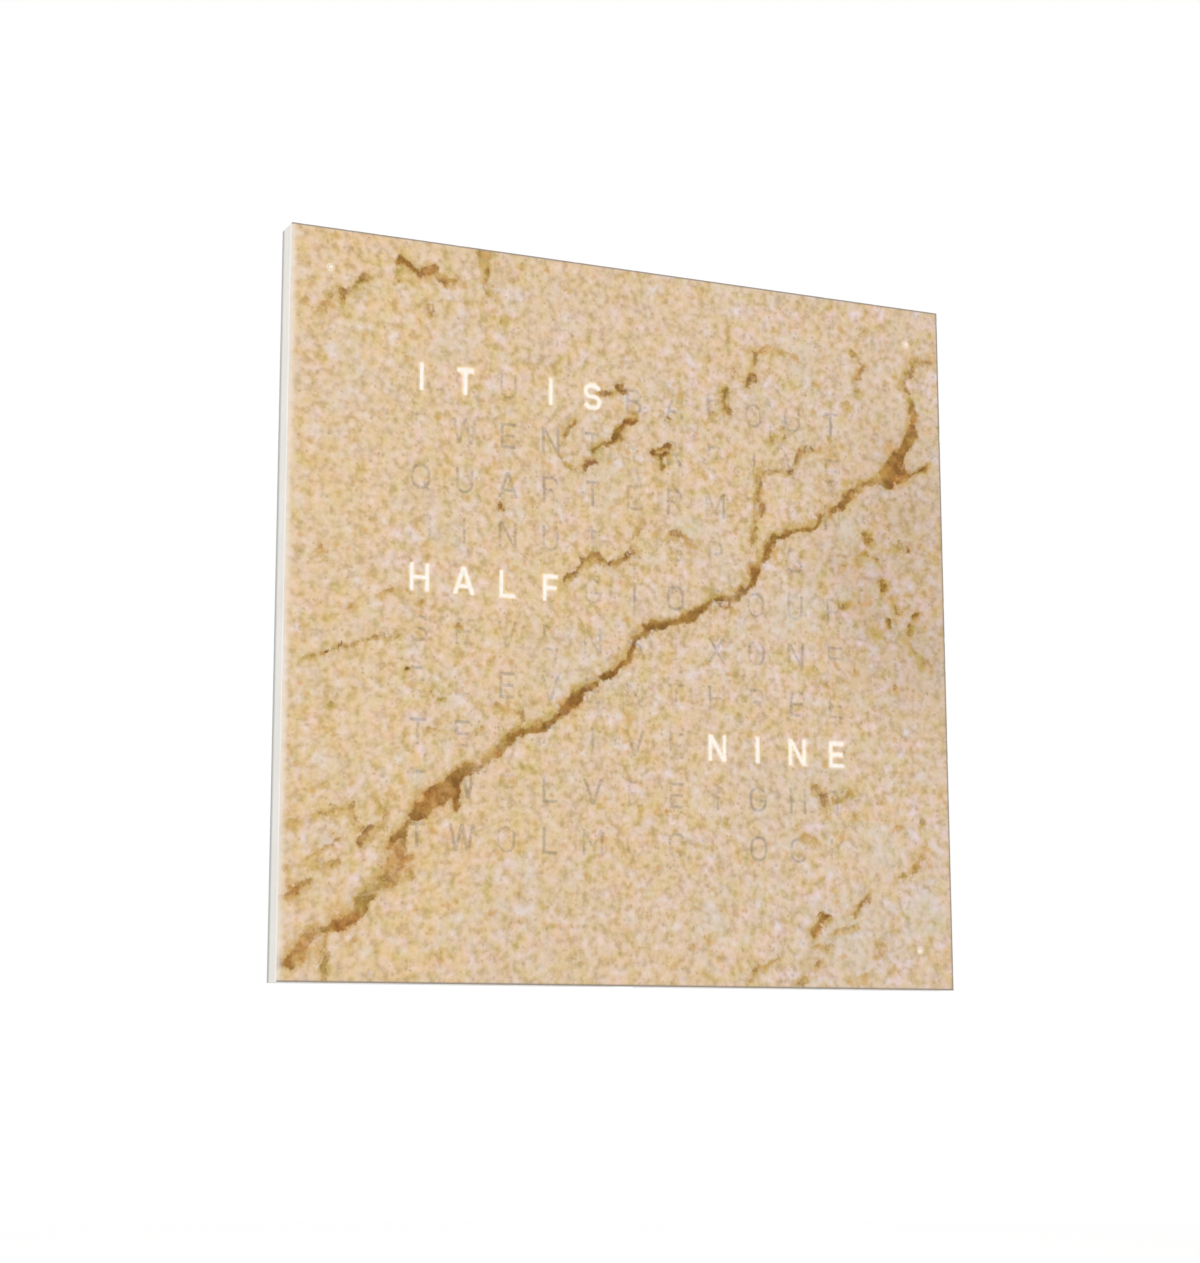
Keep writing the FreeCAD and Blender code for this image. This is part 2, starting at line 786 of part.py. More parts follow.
def antenna_coil():
    """Winding on a bobbin whose square cheeks stand on the board."""
    y, z = antenna_axis()
    cheek, height = 1.2, coil_radius + coil_cheek
    winding = rod_x(y, z, coil_radius, -coil_half_length, coil_half_length)
    cheeks = [block(x, x + cheek, y - height, y + height, z - height, z + height)
              for x in (-coil_half_length - cheek, coil_half_length)]
    bore = rod_x(y, z, antenna_radius + 0.02, -coil_half_length - 2, coil_half_length + 2)
    return joined([winding] + cheeks).cut(bore)


# Power inlet

def slot_prism(half_width, height, y, z0, z1):
    """Solid with round short sides, long side along X, from z0 to z1."""
    r = height / 2
    flat = half_width - r
    middle = block(-flat, flat, y - r, y + r, z0, z1)
    return joined([middle, rod_z(-flat, y, r, z0, z1), rod_z(flat, y, r, z0, z1)])


def power_inlet():
    """Oval low-voltage socket: a steel shell with a flat tongue, mouth down."""
    y = y_board_back + socket_height / 2
    end = socket_mouth_z + socket_length
    shell = slot_prism(socket_half_width, socket_height, y, socket_mouth_z, end)
    hollow = slot_prism(socket_half_width - socket_sheet, socket_height - 2 * socket_sheet, y,
                        socket_mouth_z - 1, end - 1.0)
    tongue = block(-3.35, 3.35, y - 0.35, y + 0.35, socket_mouth_z + 0.8, end - 0.5)
    return joined([shell.cut(hollow), tongue])


def inlet_pocket():
    """Moulded channel that keeps the plug's space apart from the inside of the clock."""
    w, t = channel_half_width, channel_wall
    z0, z1 = -rail_inner, socket_mouth_z
    outer = block(-w - t, w + t, -channel_depth - t, y_panel, z0, z1 + t)
    inner = block(-w, w, -channel_depth, 1, z0 - 1, z1)
    y = y_board_back + socket_height / 2
    window = slot_prism(socket_half_width + 0.1, socket_height + 0.2, y, z1 - 1, z1 + t + 1)
    below_board = block(-w - t - 1, w + t + 1, y_board - 0.1, y_board_back + 0.1,
                        controller_z[0] - 0.1, z1 + t + 1)
    return outer.cut([inner, window, below_board])


# Back panel and hangers

def keyhole(x, y0, y1):
    """Round entry with a narrower slot above it."""
    z, r = hanger_entry_z, hanger_slot_radius
    end = z + hanger_slot_rise
    return joined([rod_y(x, z, hanger_entry_radius, y0, y1), block(x - r, x + r, y0, y1, z, end),
                   rod_y(x, end, r, y0, y1)])


def hanger_window(x):
    """Opening in the back panel behind a keyhole."""
    z, r = hanger_entry_z, hanger_window_radius
    end = z + hanger_slot_rise
    return joined([rod_y(x, z, r, y_panel - 1, 1), block(x - r, x + r, y_panel - 1, 1, z, end),
                   rod_y(x, end, r, y_panel - 1, 1)])


def rivet_places():
    out, up = hanger_half_width - 5.0, 5.0
    return [(sx * hanger_x + s * out, z) for sx in (-1, 1) for s in (-1, 1)
            for z in (hanger_z[0] + up, hanger_z[1] - up)]


def hanger_plates():
    """Two steel plates with keyholes, riveted inside the back panel."""
    plates = []
    y0, y1 = y_panel - hanger_sheet, y_panel
    holes = [rod_y(x, z, rivet_radius + fit, y0 - 1, y1 + 1) for x, z in rivet_places()]
    for x in (-hanger_x, hanger_x):
        plate = block(x - hanger_half_width, x + hanger_half_width, y0, y1, *hanger_z)
        upright_edges = edges_where(plate, lambda b: b.YLength > hanger_sheet / 2)
        plate = plate.makeFillet(3.0, upright_edges)
        plates.append(plate.cut([keyhole(x, y0 - 1, y1 + 1)] + holes))
    return group(plates)


def hanger_rivets():
    """Rivets, countersunk in the back so that the clock lies flat on the wall."""
    r, head, height = rivet_radius, rivet_head_radius, rivet_head_height
    inner = y_panel - hanger_sheet
    return group([joined([rod_y(x, z, head, inner - height, inner), rod_y(x, z, r, inner, -height),
                          cone_y(x, z, r, head, -height, 0)]) for x, z in rivet_places()])


def panel_screw_places():
    level_rails = [(s, sz * panel_screw_line) for sz in (-1, 1) for s in panel_screw_stations]
    upright_rails = [(sx * panel_screw_line, s) for sx in (-1, 1) for s in panel_screw_stations]
    return level_rails + upright_rails


def back_panel():
    """Sheet in the frame's rebate, flush with its back."""
    panel = block(-panel_half, panel_half, y_panel, 0, -panel_half, panel_half)
    shank, head, height = panel_screw
    cuts = [hanger_window(-hanger_x), hanger_window(hanger_x)]
    cuts.append(block(-channel_half_width, channel_half_width, y_panel - 1, 1, -half, socket_mouth_z))
    for x, z in panel_screw_places():
        cuts += [rod_y(x, z, shank + fit, y_panel - 1, 1),
                 cone_y(x, z, shank + fit, head + fit, -height, 0)]
    for x, z in rivet_places():
        cuts += [rod_y(x, z, rivet_radius + fit, y_panel - 1, 1),
                 cone_y(x, z, rivet_radius + fit, rivet_head_radius + fit, -rivet_head_height, 0)]
    return panel.cut(cuts)


def back_panel_screws():
    shank, head, height = panel_screw
    screws = []
    for x, z in panel_screw_places():
        screw = joined([rod_y(x, z, shank, -panel_screw_length, -height),
                        cone_y(x, z, shank, head, -height, 0)])
        screws.append(screw.cut(cross_slot(x, z, -cross_slot_size[2], 1)))
    return group(screws)


# Setting buttons and light sensor

def setting_button(x):
    """Cap, flange and stem in one piece. The cap is flush with the underside and slightly dished."""
    shoulder = -half + button_head
    stem_end = button_board_z - switch_height + button_reach
    cap = rod_z(x, button_y, button_radius, -half, shoulder)
    dish_radius = (button_radius ** 2 * 0.7 + button_dish ** 2) / (2 * button_dish)
    dish = Part.makeSphere(dish_radius, vec(x, button_y, -half - dish_radius + button_dish))
    flange = rod_z(x, button_y, button_flange_radius, shoulder, shoulder + button_flange)
    stem = rod_z(x, button_y, button_stem_radius, shoulder + button_flange, stem_end)
    return joined([cap.cut(dish), flange, stem])


def tact_switches():
    """Small push switches under the button board, each with a round well for the button's stem."""
    h = switch_size / 2
    z0 = button_board_z - switch_height
    bodies = []
    for x in button_stations:
        body = block(x - h, x + h, button_y - h, button_y + h, z0, button_board_z)
        bodies.append(body.cut(rod_z(x, button_y, button_stem_radius + fit, z0 - 1, z0 + switch_well)))
    return group(bodies)


def button_board():
    """Narrow board across the bottom rail, on two feet that stand on it."""
    y0, y1 = button_y - button_board_half_depth, button_y + button_board_half_depth
    x0, x1 = button_board_x
    board = block(x0, x1, y0, y1, button_board_z, button_board_z + board_thickness)
    feet = [rod_z(x, button_y, 2.0, -rail_inner, button_board_z) for x in (x0 + 3.0, x1 - 2.5)]
    return joined([board] + feet)


def light_sensor():
    """Clear sensor with a domed tip just inside the underside and a square foot on the board."""
    tip = -half + 0.6
    dome_middle = tip + sensor_radius
    body = rod_z(sensor_x, button_y, sensor_radius, dome_middle, button_board_z - 1.5)
    dome = Part.makeSphere(sensor_radius, vec(sensor_x, button_y, dome_middle))
    foot = block(sensor_x - 2.5, sensor_x + 2.5, button_y - 2.5, button_y + 2.5,
                 button_board_z - 1.5, button_board_z)
    return joined([body, dome, foot])


def make_parts():
    faces = letter_faces()
    stone_face, stone_counters = stone_sheet(faces)
    parts = {
        "stone_face": stone_face,
        "stone_counters": stone_counters,
        "cover_plate": cover_plate(),
        "minute_dots_lit": group([minute_dot(*c) for c in all_corners if c != unlit_corner]),
        "minute_dot_unlit": minute_dot(*unlit_corner),
        "keeper_discs": keeper_discs(),
        "locating_pins": locating_pins(),
        "frame_rail_top": plain_rail(),
        "frame_rail_right": upright_rail(90),
        "frame_rail_bottom": bottom_rail(),
        "frame_rail_left": upright_rail(270),
        "corner_brackets": group([mirrored(corner_bracket(), *c) for c in all_corners]),
        "bracket_screws": group([mirrored(s, *c) for c in all_corners for s in bracket_screws()]),
        "magnets": magnets(),
        "light_grid": light_grid(),
        "lamp_board_upper": lamp_board(1),
        "lamp_board_lower": lamp_board(-1),
        "matrix_lamps": matrix_lamps(),
        "board_spacers": board_spacers(),
        "board_screws": board_screws(),
        "corner_lamp_cups": group([mirrored(corner_cup(), *c) for c in all_corners]),
        "corner_lamp_boards": group([corner_board(*c) for c in all_corners]),
        "corner_lamps": group([lamp(sx * dot_place, sz * dot_place, corner_board_front())
                               for sx, sz in all_corners]),
        "inner_leads": group([mirrored(corner_lead(), *c) for c in all_corners] + [button_lead()]),
        "controller_board": controller_board(),
        "controller_chips": controller_chips(),
        "coin_cell_holder": cell_holder(),
        "coin_cell": coin_cell(),
        "ribbon_cables": ribbon_cables(),
        "radio_board": radio_board(),
        "ferrite_antenna": ferrite_antenna(),
        "antenna_coil": antenna_coil(),
        "power_inlet": power_inlet(),
        "inlet_pocket": inlet_pocket(),
        "back_panel": back_panel(),
        "back_panel_screws": back_panel_screws(),
        "hanger_plates": hanger_plates(),
        "hanger_rivets": hanger_rivets(),
        "button_board": button_board(),
        "tact_switches": tact_switches(),
        "light_sensor": light_sensor(),
    }
    parts.update(letter_nodes(faces))
    for number, x in enumerate(button_stations, 1):
        parts[f"setting_button_{number}"] = setting_button(x)
    return parts


os.makedirs("parts", exist_ok=True)
for name, shape in make_parts().items():
    shape.exportStep(f"parts/{name}.step")
    print(f"{name}: {len(shape.Solids)} solid(s), {shape.Volume / 1000:.2f} cm3, valid {shape.isValid()}")
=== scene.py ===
import json
import math
import bmesh
import bpy
import numpy as np
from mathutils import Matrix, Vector
from mathutils.bvhtree import BVHTree


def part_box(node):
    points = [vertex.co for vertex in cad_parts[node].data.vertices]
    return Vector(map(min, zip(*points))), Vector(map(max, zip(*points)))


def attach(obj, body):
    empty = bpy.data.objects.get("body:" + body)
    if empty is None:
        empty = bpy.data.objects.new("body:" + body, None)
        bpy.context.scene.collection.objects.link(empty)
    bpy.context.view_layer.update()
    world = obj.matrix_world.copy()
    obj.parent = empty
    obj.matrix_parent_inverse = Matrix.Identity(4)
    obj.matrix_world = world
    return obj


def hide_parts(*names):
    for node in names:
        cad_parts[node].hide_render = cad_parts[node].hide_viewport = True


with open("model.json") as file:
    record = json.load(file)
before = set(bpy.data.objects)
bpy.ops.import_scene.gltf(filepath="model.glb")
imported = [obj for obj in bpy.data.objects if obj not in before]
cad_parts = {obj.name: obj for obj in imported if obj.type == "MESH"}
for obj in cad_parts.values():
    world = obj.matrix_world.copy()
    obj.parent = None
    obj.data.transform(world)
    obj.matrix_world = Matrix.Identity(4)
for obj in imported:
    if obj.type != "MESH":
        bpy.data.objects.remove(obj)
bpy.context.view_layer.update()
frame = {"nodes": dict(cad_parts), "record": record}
mm = 0.001
bodyOf = {node: body for body, nodes in frame["record"]["behaviour"]["bodies"].items() for node in nodes}
slotOf = {part["node"]: part["material_slot"] for part in frame["record"]["subparts"]}

# Small helpers for nodes and pieces


def screenColor(red, green, blue):
    # a colour as a screen shows it, 0 to 255, turned into the renderer's own
    def straight(value):
        value /= 255
        return value / 12.92 if value <= 0.04045 else ((value + 0.055) / 1.055) ** 2.4
    return (straight(red), straight(green), straight(blue), 1.0)


class Value:
    # a node's output, which can be added, subtracted and multiplied
    def __init__(self, socket):
        self.socket = socket
        self.tree = socket.id_data

    def __add__(self, term):
        return calc("ADD", self, term)

    def __sub__(self, term):
        return calc("SUBTRACT", self, term)

    def __mul__(self, factor):
        return calc("MULTIPLY", self, factor)

    def other(self, name):
        # another output of the same node
        return Value(self.socket.node.outputs[name])


def join(socket, value):
    # links a node's output, or sets a plain value or a colour as a screen shows it
    if isinstance(value, Value):
        value.tree.links.new(value.socket, socket)
    elif socket.type == "RGBA" and len(value) == 3:
        socket.default_value = screenColor(*value)
    else:
        socket.default_value = value


def put(tree, kind, inputs=None, **settings):
    # adds one node and gives back its first output
    node = tree.nodes.new("ShaderNode" + kind)
    for name, value in settings.items():
        setattr(node, name, value)
    for name, value in (inputs or {}).items():
        join(node.inputs[name], value)
    return Value(node.outputs[0]) if node.outputs else node


def putWith(kind, inputs, **settings):
    # adds one node to the tree that its inputs come from
    tree = next(value.tree for value in inputs.values() if isinstance(value, Value))
    return put(tree, kind, inputs, **settings)


def calc(operation, *values):
    return putWith("Math", dict(enumerate(values)), operation=operation)


def vector(operation, *values, **more):
    return putWith("VectorMath", dict(enumerate(values)) | more, operation=operation)


def mixed(factor, first, second, blend="MIX"):
    return putWith("Mix", {0: factor, 6: first, 7: second}, data_type="RGBA", blend_type=blend).other(2)


def spread(value, low, high, toLow=0.0, toHigh=1.0):
    # low to high becomes toLow to toHigh, with soft ends
    ends = {"From Min": low, "From Max": high, "To Min": toLow, "To Max": toHigh}
    return putWith("MapRange", {"Value": value} | ends, interpolation_type="SMOOTHSTEP")


def ramp(value, stops):
    color = putWith("ValToRGB", {"Fac": value})
    elements = color.socket.node.color_ramp.elements
    while len(elements) < len(stops):
        elements.new(0.5)
    for element, (place, tint) in zip(elements, stops):
        element.position = place
        element.color = screenColor(*tint) if len(tint) == 3 else tint
    return color


def tinted(color, value, stops):
    # a colour times a ramp of plain factors
    return mixed(1.0, color, ramp(value, [(place, (*factors, 1)) for place, factors in stops]), "MULTIPLY")


def noise(where, scale, detail=2.0, rough=0.5, warp=0.0):
    return putWith("TexNoise", {"Vector": where, "Scale": scale, "Detail": detail, "Roughness": rough,
                                "Distortion": warp})


def cells(where, scale, randomness=1.0, **settings):
    inputs = {"Vector": where, "Scale": scale, "Randomness": randomness}
    return putWith("TexVoronoi", inputs, **settings)


def parts(value, kind="XYZ"):
    return [Value(output) for output in putWith("Separate" + kind, {0: value}).socket.node.outputs]


def channels(texture):
    # three more values of a texture, each with a pattern of its own
    return parts(texture.other("Color"), "Color")


def objectPlace(tree):
    return put(tree, "TexCoord").other("Object")


def attribute(tree, name):
    return put(tree, "Attribute", attribute_name=name, attribute_type="GEOMETRY").other("Fac")


def bumped(height, distance=mm):
    return putWith("Bump", {"Height": height, "Distance": distance})


def feed(sockets, **values):
    for label, value in values.items():
        join(sockets[label.replace("_", " ")], value)


def newGroup(name, inputs, outputs):
    # inputs: (name, default); outputs: names
    tree = bpy.data.node_groups.new(name, "ShaderNodeTree")
    for label, value in inputs:
        kind = "Float" if isinstance(value, float) else "Color" if len(value) == 4 else "Vector"
        socket = tree.interface.new_socket(label, in_out="INPUT", socket_type="NodeSocket" + kind)
        socket.default_value = value
    for label in outputs:
        kind = "Color" if label == "Color" else "Float"
        tree.interface.new_socket(label, in_out="OUTPUT", socket_type="NodeSocket" + kind)
    given = {socket.name: Value(socket) for socket in tree.nodes.new("NodeGroupInput").outputs}
    return tree, given, tree.nodes.new("NodeGroupOutput").inputs


def useGroup(tree, group, **values):
    node = tree.nodes.new("ShaderNodeGroup")
    node.node_tree = group
    feed(node.inputs, **values)
    return {output.name: Value(output) for output in node.outputs}


def newMaterial(name, **values):
    material = bpy.data.materials.new(name)
    material.use_nodes = True
    shader = material.node_tree.nodes["Principled BSDF"].inputs
    feed(shader, **values)
    return material, material.node_tree, shader


def newPiece(name, mesh, node, material, alsoReplaces=(), replaces=True):
    # a new piece on the body of a CAD node, with one material; it hides that node and those it also
    # replaces, unless told not to
    piece = bpy.data.objects.new(name, mesh)
    bpy.context.scene.collection.objects.link(piece)
    mesh.materials.clear()
    mesh.materials.append(material)
    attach(piece, bodyOf[node])
    if replaces:
        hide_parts(node, *alsoReplaces)


def weld(bm):
    bmesh.ops.remove_doubles(bm, verts=list(bm.verts), dist=1e-6)


def turnOutward(bm):
    bmesh.ops.recalc_face_normals(bm, faces=list(bm.faces))


def meshFrom(bm, name):
    mesh = bpy.data.meshes.new(name)
    bm.to_mesh(mesh)
    bm.free()
    return mesh


# The camera stands to the left of the clock and below its middle, and looks up at it
camera = {
    "place": (-0.6464, -1.3910, -0.2707),
    "turn": 24.42,       # degrees to the right of straight at the wall
    "rise": 9.85,        # degrees up
    "lean": 0.08,        # degrees of roll
    "lens": 70.9,        # mm, on a sensor 36 mm along the image's long side
}


def makeCamera():
    data = bpy.data.cameras.new("camera")
    data.lens = camera["lens"]
    data.sensor_width = 36
    data.clip_start = 0.01
    eye = bpy.data.objects.new("camera", data)
    eye.location = camera["place"]
    eye.rotation_mode = "XYZ"
    turn, rise, lean = (math.radians(camera[name]) for name in ("turn", "rise", "lean"))
    eye.rotation_euler = (math.pi / 2 + rise, lean, -turn)
    bpy.context.scene.collection.objects.link(eye)
    bpy.context.scene.camera = eye


studio = {
    "floor": -0.6,               # m, well below the clock, as it hangs
    "floorHalf": 9.0,            # m
    "floorColor": (238, 237, 235),
    "white": (1.3, 4.2),         # m from the middle, where the floor fades into the white background
    "ambient": 0.70,             # how bright the white surroundings shine on the clock
    "lamps": {                   # name: (place, size, watts)
        "key": ((-2.8, -2.0, 1.6), 2.2, 48),
        "fill": ((2.4, -2.4, 0.6), 2.4, 14),
        "behind": ((1.2, 3.0, 1.6), 2.6, 48),
    },
}


def seenDirectly(tree):
    # 1 for what the camera sees, also in reflections and through glass
    path = put(tree, "LightPath")
    seen = calc("MAXIMUM", path.other("Is Camera Ray"), path.other("Is Glossy Ray"))
    return calc("MAXIMUM", seen, path.other("Is Transmission Ray"))


def makeStudio():
    scene = bpy.context.scene
    scene.view_settings.view_transform = "Standard"
    world = bpy.data.worlds.new("studio")
    scene.world = world
    world.use_nodes = True
    tree = world.node_tree
    tree.nodes.clear()
    strength = seenDirectly(tree) * (1 - studio["ambient"]) + studio["ambient"]
    put(tree, "OutputWorld", {0: put(tree, "Background", {"Color": (1, 1, 1, 1), "Strength": strength})})
    for name, (place, size, watts) in studio["lamps"].items():
        data = bpy.data.lights.new(name, "AREA")
        data.shape = "SQUARE"
        data.size = size
        data.energy = watts
        lamp = bpy.data.objects.new(name, data)
        lamp.location = place
        lamp.rotation_euler = (-Vector(place)).to_track_quat("-Z", "Y").to_euler()
        scene.collection.objects.link(lamp)


def floorMaterial():
    material, tree, _ = newMaterial("floor", Roughness=0.9, Base_Color=studio["floorColor"])
    away = vector("LENGTH", objectPlace(tree)).other("Value")
    far = spread(away, *studio["white"]) * seenDirectly(tree)
    white = put(tree, "Emission", {"Color": (1, 1, 1, 1), "Strength": 1.0})
    plain = Value(tree.nodes["Principled BSDF"].outputs[0])
    surface = put(tree, "MixShader", {0: far, 1: plain, 2: white})
    join(tree.nodes["Material Output"].inputs["Surface"], surface)
    return material


def makeFloor():
    reach = studio["floorHalf"]
    corners = [(-reach, -reach, 0), (reach, -reach, 0), (reach, reach, 0), (-reach, reach, 0)]
    mesh = bpy.data.meshes.new("floor")
    mesh.from_pydata(corners, [], [(0, 1, 2, 3)])
    mesh.materials.append(floorMaterial())
    floor = bpy.data.objects.new("floor", mesh)
    floor.location.z = studio["floor"]
    bpy.context.scene.collection.objects.link(floor)


makeCamera()
makeStudio()
makeFloor()
print("camera and studio done")

# The stone's cracks in mm from the middle of the face: x, z, width there, and how dark (1) or pale (0)
fissure = [
    [(227, 190, 2, .5), (218, 190, 2.2, .55), (210, 190, 2.6, .55), (206, 187, 2.6, .55),
     (204, 182, 2.2, .5), (201, 177, 2.6, .5), (199, 172, 2.6, .5), (201, 166, 2.6, .5),
     (203, 160, 2.8, .6), (204, 153, 3.4, .6), (205, 148, 5.5, .6), (204, 142, 8, .65), (204, 137, 8, .7),
     (200, 132, 6.5, .85), (196, 128, 6, 1), (192, 123, 8, .9), (189, 118, 11, .75), (188, 112, 15, .75),
     (184, 107, 12, .7), (181, 105, 6, .6), (175, 105, 3.4, .45), (168, 102, 3, .6), (160, 99, 2.8, .55),
     (156, 95, 3.9, .6), (152, 90, 3.7, .7), (146, 85, 3, .65), (141, 82, 2.8, .7), (139, 77, 2.5, .5)],
    [(190, 112, 12, .7), (197, 109.5, 7, .7)],
    [(192, 108, 4, .75), (198, 110, 4.6, .85), (203, 112.5, 2.8, .85), (209, 115, 2.4, .75),
     (214, 119, 2.2, .65)],
    [(135, 77, 3, .55), (132, 73, 3.8, .8), (128, 71, 3.2, .75), (122, 68, 3.5, .7), (116, 66, 3.2, .8),
     (109, 65, 3.2, .7), (103, 62, 3.8, .85), (99, 60, 4.2, .8), (95, 56, 3.2, .7), (92.5, 50, 3.5, .85),
     (90.5, 44, 3.2, .7)],
    [(89, 41, 3, .6), (86, 37, 6, 1), (83, 32, 5, .9), (80, 28, 3.2, .7), (76, 23, 2.6, .6),
     (71, 19.5, 2.2, .55), (64, 18, 1.6, .45), (58, 18, 2.6, .95), (54, 17.5, 2.2, .85), (50, 13, 2.6, .6),
     (45, 8, 4.6, .8), (39, 5, 7, .9), (33, 2, 5.5, .75), (27, -1, 4, .8), (20, -2.5, 5, .95),
     (13, -4, 4, .8), (8, -7, 4, .85), (4, -12, 3.4, .6)],
    [(52, 11, 2, .35), (58, 12, 3, .4), (67, 12.5, 2.2, .45), (72, 11, 2, .45)],
    [(-102, 226, 5.4, .45), (-102, 217, 5, .5), (-100, 211, 3, .7), (-100, 206, 2, .5)],
    [(0, -14, 3.6, .5), (-2, -18, 3.9, .65), (-5, -24, 4.2, .75), (-10, -29, 3.9, .8), (-16, -34, 5.2, .9),
     (-22, -37.5, 5.2, .85), (-26, -37, 2.6, .4)],
    [(-26, -42, 2.6, .8), (-33, -43.5, 3.6, .55), (-36, -47, 4.5, .8), (-40, -52, 7.5, .85),
     (-45, -58, 7, .75), (-47, -62, 4, .6), (-53, -65, 3.2, .75), (-58, -68, 3.8, .7), (-63, -71, 3.8, .75),
     (-75, -73, 3.5, .8), (-81, -76, 4, .75), (-86, -82, 4, .65), (-90, -86, 4.2, .5), (-96, -91, 5, .5),
     (-103, -96, 5, .5), (-112, -99, 4.5, .7), (-117, -104, 7, .85), (-118, -112, 7, .9),
     (-118, -120, 6, .75)],
    [(-121, -108, 9, .7), (-127, -113, 11, .65), (-133, -118, 11, .68), (-139, -123, 11, .72),
     (-143, -127, 7, .95)],
    [(-146, -132, 5.2, .6), (-151, -136.5, 6, .7), (-157, -142, 6, .65), (-159, -145, 3.6, .5)],
    [(-152, -143, 6, .45), (-154, -152, 11, .42), (-158, -160, 11, .42), (-162, -167, 8, .5)],
    [(-145, -152, 3, .35), (-149, -155, 4, .4), (-145, -160, 4.5, .42)],
    [(-168, -170, 8, .45), (-172, -175, 8.5, .55), (-176, -181, 8, .68), (-182, -187, 5.5, .6),
     (-188, -191, 5.5, .7), (-196, -194, 6, .65), (-203, -194, 6, .5)],
    [(-203, -195, 8, .45), (-208, -201, 9, .48), (-211, -207, 9, .55), (-215, -211, 6.5, .55),
     (-221, -214, 5.5, .85), (-228, -214, 5, .9)],
]
